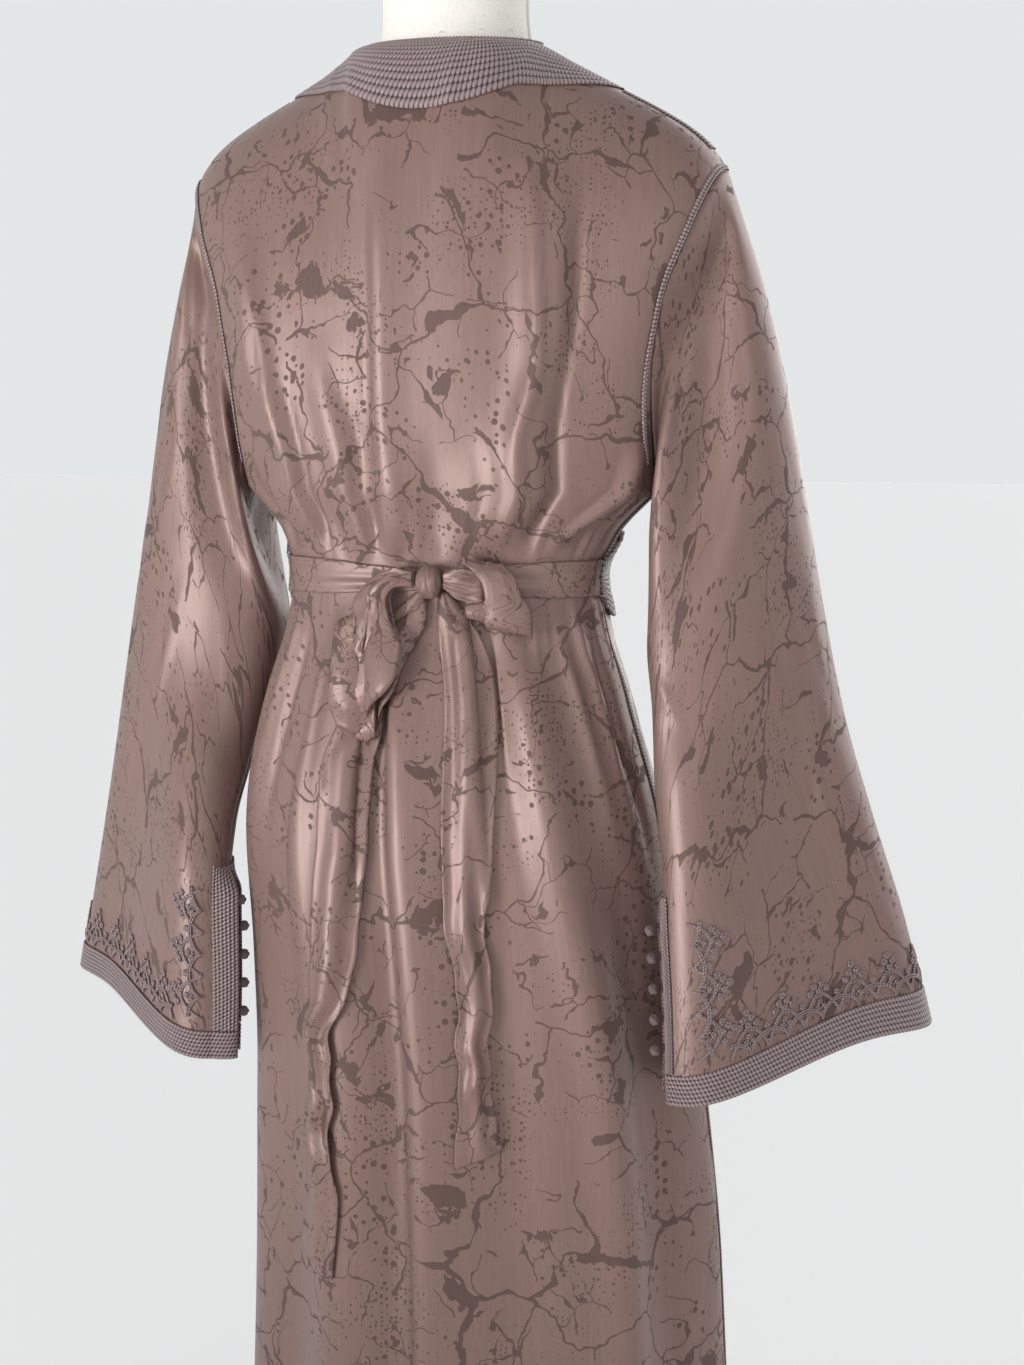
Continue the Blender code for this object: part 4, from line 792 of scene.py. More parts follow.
class Wiring:
    """A short hand for building a node tree."""

    def __init__(self, tree: bpy.types.NodeTree) -> None:
        """Keeps the tree and starts to count places for nodes."""
        self.tree, self.count = tree, 0

    def feed(self, node: bpy.types.Node, inputs: dict[Any, Any]) -> bpy.types.Node:
        """Fills inputs by name or number: a socket is linked, anything else is set."""
        for key, value in inputs.items():
            if isinstance(value, bpy.types.NodeSocket):
                self.tree.links.new(value, node.inputs[key])
            else:
                node.inputs[key].default_value = value
        return node

    def add(self, kind: str, inputs: dict[Any, Any] | None = None,
            **settings: Any) -> bpy.types.Node:
        """Adds a node.

        Args:
            kind: Type of the node, without the ShaderNode before it.
            inputs: Values or sockets by input name or number.
            settings: Properties of the node.

        Returns:
            The node.
        """
        node = self.tree.nodes.new("ShaderNode" + kind)
        node.location = (220 * (self.count % 8), -260 * (self.count // 8))
        self.count += 1
        for name, value in settings.items():
            setattr(node, name, value)
        return self.feed(node, inputs or {})

    def math(self, operation: str, *values: Any) -> bpy.types.NodeSocket:
        """The result of a Math node."""
        return self.add("Math", dict(enumerate(values)), operation=operation).outputs[0]

    def vector(self, operation: str, *values: Any) -> bpy.types.NodeSocket:
        """The vector that a Vector Math node gives."""
        return self.add("VectorMath", dict(enumerate(values)), operation=operation).outputs[0]

    def scaled(self, vector: Any, scale: Any) -> bpy.types.NodeSocket:
        """A vector times a number."""
        return self.add("VectorMath", {0: vector, 3: scale}, operation="SCALE").outputs[0]

    def ramp(self, value: Any, low: float, high: float, start: float = 0.0,
             end: float = 1.0) -> bpy.types.NodeSocket:
        """A value turned softly from one range to another and held at its ends."""
        node = self.add("MapRange", {"Value": value, "From Min": low, "From Max": high,
                                     "To Min": start, "To Max": end},
                        interpolation_type="SMOOTHSTEP")
        return node.outputs["Result"]

    def mix(self, share: Any, first: Any, second: Any) -> bpy.types.NodeSocket:
        """A colour between two colours."""
        node = self.add("Mix", {0: share, 6: first, 7: second}, data_type="RGBA")
        return node.outputs[2]

    def noise(self, place: Any, scale: Any, detail: float, roughness: float = 0.5,
              dimensions: str = "2D") -> bpy.types.Node:
        """A Noise Texture node, whose first output is a value and the second a colour."""
        return self.add("TexNoise", {"Vector": place, "Scale": scale, "Detail": detail,
                                     "Roughness": roughness}, noise_dimensions=dimensions)

    def bump(self, height: Any, strength: float, distance: float) -> bpy.types.NodeSocket:
        """The normal that a height gives, its distance in metres."""
        return self.add("Bump", {"Height": height, "Strength": strength,
                                 "Distance": distance}).outputs[0]


def new_group(name: str, inputs: Sequence[tuple[str, str, float]],
              outputs: Sequence[str]) -> tuple[Wiring, dict[str, Any], bpy.types.Node]:
    """Starts a shader node group.

    Args:
        name: Name of the group.
        inputs: Name, kind (Float or Vector) and default of each input.
        outputs: Names of its outputs, all values.

    Returns:
        The wiring of the group, its input sockets by name, and its output node.
    """
    tree = bpy.data.node_groups.new(name, "ShaderNodeTree")
    for label, kind, default in inputs:
        socket = tree.interface.new_socket(label, in_out="INPUT", socket_type="NodeSocket" + kind)
        if kind == "Float":
            socket.default_value = default
    for label in outputs:
        tree.interface.new_socket(label, in_out="OUTPUT", socket_type="NodeSocketFloat")
    source, sink = tree.nodes.new("NodeGroupInput"), tree.nodes.new("NodeGroupOutput")
    source.location, sink.location = (-300, 0), (2000, 0)
    return Wiring(tree), {socket.name: socket for socket in source.outputs if socket.name}, sink


def new_material(name: str) -> tuple[bpy.types.Material, Wiring, bpy.types.Node]:
    """Starts a material: the material, the wiring of its tree and its shader."""
    material = bpy.data.materials.new(name)
    material.use_nodes = True
    shader = material.node_tree.nodes["Principled BSDF"]
    return material, Wiring(material.node_tree), shader


class Effects:
    """Shader node groups that more than one finish uses, each built once."""

    def __init__(self) -> None:
        """Builds all groups."""
        self.veins = self.build_veins()
        self.weave = self.build_weave()
        self.plait = self.build_plait()

    @staticmethod
    def build_veins() -> bpy.types.NodeTree:
        """Branching veins, blots and clustered specks of a jacquard."""
        wires, given, sink = new_group("jacquard_veins", [("Vector", "Vector", 0.0),
                                                          ("Scale", "Float", 1.0)], ["Mask"])
        place = wires.scaled(given["Vector"], given["Scale"])
        warp = wires.vector("SUBTRACT", wires.noise(place, 22.0, 3.0).outputs["Color"],
                            (0.5, 0.5, 0.5))
        bent = wires.vector("ADD", place, wires.scaled(warp, 0.045))
        patches = wires.noise(place, 9.0, 2.0).outputs[0]
        masks = []
        for scale, thin, thick, gate in ((11.0, 0.010, 0.048, 0.39), (27.0, 0.015, 0.048, 0.50)):
            edge = wires.add("TexVoronoi", {"Vector": bent, "Scale": scale},
                             feature="DISTANCE_TO_EDGE", voronoi_dimensions="2D")
            width = wires.ramp(wires.noise(place, scale * 1.6, 2.0).outputs[0],
                               0.48, 0.76, thin, thick)
            line = wires.math("LESS_THAN", edge.outputs["Distance"], width)
            shown = wires.math("GREATER_THAN", wires.noise(place, scale * 0.9, 1.0).outputs[0],
                               gate)
            masks.append(wires.math("MULTIPLY", line, shown))
        masks.append(wires.math("GREATER_THAN", wires.noise(bent, 24.0, 4.0, 0.6).outputs[0],
                                wires.ramp(patches, 0.35, 0.65, 0.74, 0.63)))
        for scale, most, shift in ((135.0, 0.34, 0.0), (260.0, 0.30, 3.7)):
            moved = wires.vector("ADD", place, (shift, shift, 0.0))
            cells = wires.add("TexVoronoi", {"Vector": moved, "Scale": scale}, feature="F1",
                              voronoi_dimensions="2D")
            chance = wires.add("SeparateColor", {0: cells.outputs["Color"]}).outputs[0]
            cluster = wires.ramp(wires.noise(moved, 13.0, 2.0).outputs[0], 0.44, 0.66)
            size = wires.math("MULTIPLY", wires.ramp(chance, 0.25, 1.0, 0.0, most), cluster)
            masks.append(wires.math("LESS_THAN", cells.outputs["Distance"], size))
        total = masks[0]
        for mask in masks[1:]:
            total = wires.math("MAXIMUM", total, mask)
        wires.feed(sink, {"Mask": total})
        return wires.tree

    @staticmethod
    def build_weave() -> bpy.types.NodeTree:
        """Fine threads along the cloth, with a few thicker ones."""
        wires, given, sink = new_group(
            "weave", [("Vector", "Vector", 0.0), ("Threads", "Float", 1500.0),
                      ("Long", "Float", 0.05)], ["Height", "Shade"])
        stretch = wires.add("CombineXYZ", {0: 1.0, 1: given["Long"], 2: 1.0}).outputs[0]
        place = wires.vector("MULTIPLY", given["Vector"], stretch)
        fine = wires.noise(place, given["Threads"], 2.0).outputs[0]
        wide = wires.noise(place, wires.math("MULTIPLY", given["Threads"], 0.22), 3.0).outputs[0]
        wires.feed(sink, {"Height": fine,
                          "Shade": wires.math("MULTIPLY", wires.math("ADD", fine, wide), 0.5)})
        return wires.tree

    @staticmethod
    def build_plait() -> bpy.types.NodeTree:
        """Rows of plaited cord: u along in metres, v in rows. Puts out height and painted gap
        shade.
        """
        wires, given, sink = new_group("plait", [("Vector", "Vector", 0.0),
                                                 ("Pitch", "Float", 0.0035)], ["Height", "Gap_Shade"])
        parts = wires.add("SeparateXYZ", {0: given["Vector"]})
        row = wires.math("SUBTRACT", wires.math("FRACT", parts.outputs[1]), 0.5)
        stagger = wires.math("MULTIPLY", wires.math("FLOOR", parts.outputs[1]), 0.5)
        lean = wires.math("ADD", stagger, wires.math("MULTIPLY", row, 0.55))
        stitch = wires.math("ADD", wires.math("DIVIDE", parts.outputs[0], given["Pitch"]), lean)
        phase = wires.math("SUBTRACT", wires.math("FRACT", stitch), 0.5)
        away = [wires.math("MULTIPLY", wires.math("POWER", wires.math("ABSOLUTE", share), 2.0),
                           steep) for share, steep in ((phase, 3.9), (row, 3.3))]
        total = wires.math("ADD", *away)
        # The gap mask marks where stitches meet and carries painted shade into those recesses.
        wires.feed(sink, {"Height": wires.math("SUBTRACT", 1.0, total),
                          "Gap_Shade": wires.ramp(total, 0.42, 1.0)})
        return wires.tree


@dataclass(frozen=True)
class Satin:
    """Tone-on-tone satin jacquard: lighter shiny ground with darker matte veins."""

    name: str
    shift: tuple[float, float] = (0.0, 0.0)
    turn: float = 0.0
    scale: float = 1.0
    ground: tuple[float, float, float] = (0.162, 0.098, 0.085)
    veins: tuple[float, float, float] = (0.068, 0.039, 0.033)

    def build(self, effects: Effects) -> bpy.types.Material:
        """Builds the material."""
        material, wires, shader = new_material(self.name)
        flat = wires.add("UVMap", uv_map="UVMap").outputs[0]
        place = wires.add("Mapping", {"Vector": flat, "Location": (*self.shift, 0.0),
                                      "Rotation": (0.0, 0.0, self.turn)}).outputs[0]
        veins = wires.add("Group", node_tree=effects.veins)
        mask = wires.feed(veins, {"Vector": place, "Scale": self.scale}).outputs["Mask"]
        weave = wires.add("Group", node_tree=effects.weave)
        wires.feed(weave, {"Vector": place})
        tone = wires.mix(mask, (*self.ground, 1.0), (*self.veins, 1.0))
        shade = wires.ramp(weave.outputs["Shade"], 0.35, 0.65, 0.93, 1.07)
        grey = wires.add("CombineColor", {0: shade, 1: shade, 2: shade}).outputs[0]
        colour = wires.add("Mix", {0: 1.0, 6: tone, 7: grey}, data_type="RGBA",
                           blend_type="MULTIPLY").outputs[2]
        height = wires.math("SUBTRACT", wires.math("MULTIPLY", weave.outputs["Height"], 0.5),
                            wires.math("MULTIPLY", mask, 0.35))
        wires.feed(shader, {"Base Color": colour,
                            "Roughness": wires.ramp(mask, 0.0, 1.0, 0.40, 0.66),
                            "Normal": wires.bump(height, 0.18, 0.0004),
                            "Sheen Weight": 0.04, "Specular Tint": (1.0, 0.78, 0.72, 1.0),
                            "Anisotropic": 0.45, "Specular IOR Level": 0.75})
        return material


@dataclass(frozen=True)
class Plait:
    """Plaited silk cord in rows: mauve stitches, the gaps between them painted dark as shade."""

    name: str
    pitch: float = 0.0030
    light: tuple[float, float, float] = (0.262, 0.188, 0.188)
    # Painted shade for the gaps between stitches.
    dark: tuple[float, float, float] = (0.026, 0.016, 0.018)

    def build(self, effects: Effects) -> bpy.types.Material:
        """Builds the material."""
        material, wires, shader = new_material(self.name)
        flat = wires.add("UVMap", uv_map="UVMap").outputs[0]
        plait = wires.add("Group", node_tree=effects.plait)
        wires.feed(plait, {"Vector": flat, "Pitch": self.pitch})
        # The gaps take the dark colour: painted shade.
        tone = wires.mix(plait.outputs["Gap_Shade"], (*self.light, 1.0), (*self.dark, 1.0))
        wires.feed(shader, {"Base Color": tone, "Roughness": 0.5, "Sheen Weight": 0.15,
                            "Normal": wires.bump(plait.outputs["Height"], 0.6, 0.0009)})
        return material


@dataclass(frozen=True)
class Twist:
    """Twisted silk cord: a fine diagonal rib round the cord, with painted shade in its grooves."""

    name: str = "twisted_cord"
    light: tuple[float, float, float] = (0.225, 0.158, 0.158)
    # Painted shade for the grooves between the twists.
    dark: tuple[float, float, float] = (0.060, 0.040, 0.042)
    pitch: float = 0.0026

    def build(self) -> bpy.types.Material:
        """Builds the material."""
        material, wires, shader = new_material(self.name)
        flat = wires.add("SeparateXYZ", {0: wires.add("UVMap", uv_map="UVMap").outputs[0]})
        turns = wires.math("ADD", flat.outputs[0],
                           wires.math("DIVIDE", flat.outputs[1], self.pitch))
        phase = wires.math("SUBTRACT", wires.math("FRACT", turns), 0.5)
        # rib rises to 1 in the grooves, where the dark colour is painted shade.
        rib = wires.ramp(wires.math("ABSOLUTE", phase), 0.30, 0.48)
        tone = wires.mix(rib, (*self.light, 1.0), (*self.dark, 1.0))
        height = wires.math("SUBTRACT", 1.0, rib)
        wires.feed(shader, {"Base Color": tone, "Roughness": 0.48, "Sheen Weight": 0.12,
                            "Normal": wires.bump(height, 0.5, 0.0004)})
        return material


@dataclass(frozen=True)
class Linen:
    """Off-white natural linen with slubs, and painted shade where its threads lie low."""

    name: str = "natural_linen"
    light: tuple[float, float, float] = (0.74, 0.71, 0.66)
    # Darker slub yarn, also used as painted shade between the threads.
    dark: tuple[float, float, float] = (0.55, 0.50, 0.43)

    def build(self) -> bpy.types.Material:
        """Builds the material."""
        material, wires, shader = new_material(self.name)
        place = wires.add("TexCoord").outputs["Object"]
        warp, weft, slub = (
            wires.noise(wires.add("Mapping", {"Vector": place, "Scale": stretch}).outputs[0],
                        scale, detail, dimensions="3D").outputs[0]
            for stretch, scale, detail in (((1.0, 1.0, 0.10), 1100.0, 2.0),
                                           ((0.16, 0.16, 1.0), 1100.0, 2.0),
                                           ((0.25, 0.25, 1.0), 420.0, 1.0)))
        height = wires.math("MAXIMUM", warp, weft)
        # Darker in the slubs, the yarn's own tone, and painted shade where the threads lie lowest.
        dark = wires.math("MAXIMUM", wires.ramp(slub, 0.70, 0.78),
                          wires.ramp(height, 0.55, 0.40, 0.0, 0.35))
        wires.feed(shader, {"Base Color": wires.mix(dark, (*self.light, 1.0), (*self.dark, 1.0)),
                            "Normal": wires.bump(height, 0.35, 0.0005),
                            "Roughness": 0.85, "Sheen Weight": 0.15})
        return material


@dataclass(frozen=True)
class Hard:
    """Turned wood or powder-coated steel."""

    name: str
    light: tuple[float, float, float]
    dark: tuple[float, float, float]
    roughness: float
    grain: tuple[float, float, float] = (1.0, 1.0, 1.0)
    scale: float = 60.0

    def build(self) -> bpy.types.Material:
        """Builds the material."""
        material, wires, shader = new_material(self.name)
        place = wires.add("Mapping", {"Vector": wires.add("TexCoord").outputs["Object"],
                                      "Scale": self.grain}).outputs[0]
        noise = wires.noise(place, self.scale, 6.0, dimensions="3D").outputs[0]
        rough = wires.ramp(noise, 0.3, 0.7, self.roughness - 0.06, self.roughness + 0.08)
        tone = wires.mix(wires.ramp(noise, 0.35, 0.65), (*self.light, 1.0), (*self.dark, 1.0))
        wires.feed(shader, {"Base Color": tone, "Roughness": rough,
                            "Normal": wires.bump(noise, 0.12, 0.0004)})
        return material


@dataclass
class Kaftan:
    """Body panels, sleeves, bands, braids, cuffs and belt."""

    effects: Effects
    body: BodyCloth = field(default_factory=BodyCloth)
    neck_rows: int = 13
    neck_loops: float = 80.0
    belt_rows: int = 14
    front_rows: int = 12
    row_step: float = 0.0062
    yoke_rows: int = 74
    bearing_step: float = 1.75
    sleeve_grid: tuple[int, int] = (105, 112)
    tie_creases: int = 14
    tie_seed: int = 31

    def __post_init__(self) -> None:
        """Builds the finishes that the pieces share."""
        self.plait = Plait("plaited_band").build(self.effects)
        self.braid = Plait("seam_braid").build(self.effects)
        self.cord = Twist().build()
        self.sleeves = {Side.RIGHT: SleeveCloth(Side.RIGHT.sign, SLEEVE_RIGHT, self.body, 5),
                        Side.LEFT: SleeveCloth(Side.LEFT.sign, SLEEVE_LEFT, self.body, 8)}
        # A darker cord for the buttons; its second colour is painted shade in the grooves.
        self.button_cord = Twist("button_cord", (0.17, 0.115, 0.118),
                                 (0.04, 0.026, 0.028)).build()

    def heights(self) -> Array:
        """Heights of the cloth's grid lines, from the hem to the shoulder."""
        skirt = np.linspace(HEM_Z, ARMPIT_Z, int((ARMPIT_Z - HEM_Z) / self.row_step))
        yoke = ARMPIT_Z + np.linspace(0.0, 1.0, self.yoke_rows)[1:]
        return np.concatenate([skirt, yoke])

    def build_panels(self) -> None:
        """Back and fronts, each a sheet with its own flat pattern."""
        heights = self.heights()
        for name, first, last, back, shift, flat, area in (
                ("back_panel", -90.0, 90.0, True, (0.0, 0.0), (0.62, 1.62), 0.72),
                ("front_left", 90.0, 180.0, False, (1.7, 0.3), (0.36, 1.62), 0.42),
                ("front_right", -180.0, -90.0, False, (3.1, 0.9), (0.36, 1.62), 0.42)):
            columns = int((last - first) / self.bearing_step)
            bearings = np.linspace(first + SEAM_DEGREES, last - SEAM_DEGREES, columns)
            grid_b, grid_h = np.meshgrid(bearings, heights)
            points = self.body.at(grid_b, grid_h, CLOTH_LIFT, back)
            outward = self.body.at(grid_b, grid_h, PROBE, back) - points
            piece = thicken(sheet_mesh(name + "_cloth", points, outward), SATIN_WALL)
            finish = Satin(name + "_satin", shift=shift).build(self.effects)
            dress(piece, finish, "satin", name)

    def build_sleeves(self) -> None:
        """Both sleeves with their slits."""
        for hand, sleeve in self.sleeves.items():
            side = hand.value
            grid_a, grid_d = np.meshgrid(*(np.linspace(0.0, 1.0, n) for n in self.sleeve_grid))
            points = sleeve.at(grid_a, grid_d, CLOTH_LIFT)
            outward = sleeve.at(grid_a, grid_d, PROBE) - points
            piece = sheet_mesh(f"sleeve_{side}_cloth", points, outward, tube=True)
            thicken(piece, SATIN_WALL)
            shift = (5.3, 1.1) if hand is Side.RIGHT else (7.9, 2.3)
            finish = Satin(f"sleeve_{side}_satin", shift=shift).build(self.effects)
            dress(piece, finish, "satin", "sleeve_" + side)

    @staticmethod
    def band_mesh(name: str, point_at: PointAt, length_count: int, rows: int,
                  thickness: float = 0.0012, ridge: float = 0.0008) -> bpy.types.Object:
        """A band of plaited rows, each row a rounded rib of its own.

        Args:
            name: Name of the piece.
            point_at: Gives points by share along, share across and height out.
            length_count: Grid lines along the band.
            rows: Plaited rows across the band.
            thickness: Thickness of the backing.
            ridge: Height of the ribs.

        Returns:
            The band, closed.
        """
        across = np.linspace(0.0, 1.0, rows * 4 + 1)
        grid_s, grid_t = np.meshgrid(np.linspace(0.0, 1.0, length_count), across)
        phase = (grid_t * rows) % 1.0
        rib = np.sqrt(np.maximum(0.0, 1.0 - (2.0 * phase - 1.0) ** 2))
        rib = np.where(np.isclose(phase, 0.0) | np.isclose(phase, 1.0), 0.0, rib)
        points = point_at(grid_s, grid_t, thickness + 0.0004 + ridge * rib)
        flat_line = lengths(points)[len(across) // 2, :, 0]
        rows_up = np.clip(grid_t * rows, 0.22, rows - 0.22)
        metres = np.stack([np.broadcast_to(flat_line, grid_s.shape), rows_up], -1)
        outward = point_at(grid_s, grid_t, np.full(grid_s.shape, PROBE)) - points
        return thicken(sheet_mesh(name, points, outward, metres), thickness)

    def build_neck_band(self) -> None:
        """The plaited band round the back of the neck."""
        def point_at(along: Array, across: Array, out: Array) -> Array:
            turn = (along - 0.5) * math.pi
            x = blend(0.127, NECK_HALF_WIDTH, across) * np.sin(turn)
            fall = 0.36 * (1.0 - across) * np.maximum(np.cos(turn), 0.0) ** 1.2
            bearing = np.degrees(np.arcsin(x / SHOULDER_X))
            return self.body.at(bearing, ARMPIT_Z + 0.9985 - fall, out, True)

        piece = self.band_mesh("neck_band_plaits", point_at, 300, self.neck_rows)
        dress(piece, self.plait, "braid", "neck_band")
        run = np.linspace(0.0, 1.0, 480)
        loops = np.abs((run * self.neck_loops) % 1.0 - 0.5) * 2.0
        edge = point_at(0.015 + 0.97 * run, np.ones(480), 0.0016 + 0.0 * run)
        edge[:, 2] += 0.0004 + 0.0022 * loops ** 0.7
        picot = cords_mesh("neck_picot", [edge], 0.0006, sides=5)
        dress(picot, self.cord, "braid")

    def front_band_bearing(self, height: Array, width: Array) -> Array:
        """Bearing of the point that lies a width from the front edge."""
        up = np.clip(height - ARMPIT_Z, 0.0, 1.0)
        low = width / read(SECTIONS, "z", "half_width", np.minimum(height, ARMPIT_Z))
        high = width / (read(YOKE, "up", "armhole_x", up) - front_edge_x(up))
        share = np.where(height <= ARMPIT_Z, low, high)
        return 180.0 - np.degrees(np.arcsin(np.clip(share, 0.0, 1.0)))

    def build_front_bands(self) -> None:
        """The same band down both front edges."""
        heights = np.concatenate([np.linspace(HEM_Z, ARMPIT_Z, 250),
                                  ARMPIT_Z + np.linspace(0.0, 0.997, 100)[1:]])
        for hand in Side:
            side, sign = hand.value, hand.sign

            def point_at(along: Array, across: Array, out: Array) -> Array:
                height = np.interp(along, np.linspace(0.0, 1.0, len(heights)), heights)
                widening = smooth_step(0.5, 1.0, height - ARMPIT_Z)
                width = blend(BAND_WIDTH, BAND_TOP_WIDTH, widening)
                bearing = self.front_band_bearing(height, width * across)
                return self.body.at(sign * np.minimum(bearing, 179.93), height, out, False)

            piece = self.band_mesh(f"front_band_{side}_plaits", point_at, len(heights),
                                   self.front_rows)
            dress(piece, self.plait, "braid", "front_band_" + side)

    def build_braids(self) -> None:
        """The narrow braids over shoulder, armhole and side seams."""
        for hand in Side:
            side, sign = hand.value, hand.sign

            def shoulder(along: Array, across: Array, out: Array) -> Array:
                x = blend(0.1305, 0.1965, along)
                back = across <= 0.5
                up = np.where(back, blend(0.955, 1.0, across * 2),
                              blend(1.0, 0.955, across * 2 - 1))
                front_share = (x - NECK_HALF_WIDTH) / (SHOULDER_X - NECK_HALF_WIDTH)
                bearing = np.where(back, np.degrees(np.arcsin(x / SHOULDER_X)),
                                   180.0 - np.degrees(np.arcsin(front_share)))
                return self.body.at(sign * bearing, ARMPIT_Z + up, out, back)

            def armhole(along: Array, across: Array, out: Array) -> Array:
                back = along <= 0.5
                up = np.where(back, blend(0.05, 1.0, along * 2), blend(1.0, 0.05, along * 2 - 1))
                lean = 1.0 + 0.5 * (1.0 - smooth_step(0.15, 0.35, up)) / np.maximum(across, 0.3)
                step = np.where(back, -6.4, 7.5) * blend(0.55, 1.45, across) * lean
                return self.body.at(sign * (90.0 + step), ARMPIT_Z + up, out, back)

            def seam(along: Array, across: Array, out: Array) -> Array:
                z = blend(HEM_Z, ARMPIT_Z - 0.004, along)
                spread = np.degrees(0.004 / (read(SECTIONS, "z", "half_width", z) * 0.8))
                return self.body.at(sign * (90.0 + blend(-1.0, 1.0, across) * spread), z, out)

            for name, point_at, count in (("shoulder_braid_", shoulder, 60),
                                          ("armhole_braid_", armhole, 300),
                                          ("side_braid_", seam, 460)):
                piece = self.band_mesh(name + side + "_plaits", point_at, count, 2,
                                       thickness=0.0006, ridge=0.0007)
                dress(piece, self.braid, "braid", name + side)

    def build_cuffs(self) -> None:
        """Plaited cuff bands that climb the slits, cordwork over them and knotted buttons."""
        for hand, sleeve in self.sleeves.items():
            Cuff(hand.value, sleeve, self).build()

    def build_belt(self) -> None:
        """The stiff front of the belt and its two ties."""
        def front(along: Array, across: Array, out: Array) -> Array:
            bearing = blend(BELT_END, 360.0 - BELT_END, along)
            end = np.minimum(bearing - BELT_END, 360.0 - BELT_END - bearing)
            half = blend(TIE_HEIGHT / 2 + 0.002, BELT_HEIGHT / 2, smooth_step(0.0, 16.0, end))
            turned = np.where(bearing > 180.0, bearing - 360.0, bearing)
            return self.body.at(turned, BELT_Z + half * blend(-1.0, 1.0, across), out)

        piece = self.band_mesh("belt_front_panel", front, 250, self.belt_rows, thickness=0.0035)
        dress(piece, self.plait, "braid", "belt_front")
        for hand, start, end in ((Side.LEFT, TIE_START, 0.4), (Side.RIGHT, -TIE_START, -8.0)):
            side = hand.value
            grid_s, grid_t = np.meshgrid(np.linspace(0.0, 1.0, 150), np.linspace(-1.0, 1.0, 17))
            half = blend(TIE_HEIGHT / 2, 0.0085, smooth_step(0.45, 1.0, grid_s))
            draw = np.random.default_rng(self.tie_seed)
            ripple = np.zeros(grid_s.shape)
            for _ in range(self.tie_creases):
                at, slope = draw.uniform(0.0, 1.1), draw.uniform(-0.25, 0.25)
                ripple += draw.uniform(-0.0007, 0.0009) * np.exp(
                    -((grid_t - (at * 2 - 1) - slope * (grid_s - at) * 4) / 0.25) ** 2) * grid_s
            out = 0.0026 + 0.0008 * (1 - grid_t ** 2) + ripple
            bearing, height = blend(start, end, grid_s), BELT_Z + half * grid_t
            points = self.body.at(bearing, height, out)
            outward = self.body.at(bearing, height, out + PROBE) - points
            tie = thicken(sheet_mesh(f"belt_tie_{side}_satin", points, outward), WALL)
            finish = Satin(f"tie_{side}_finish", shift=(9.1, 4.4), turn=1.57, scale=1.2)
            dress(tie, finish.build(self.effects), "satin", "belt_tie_" + side)


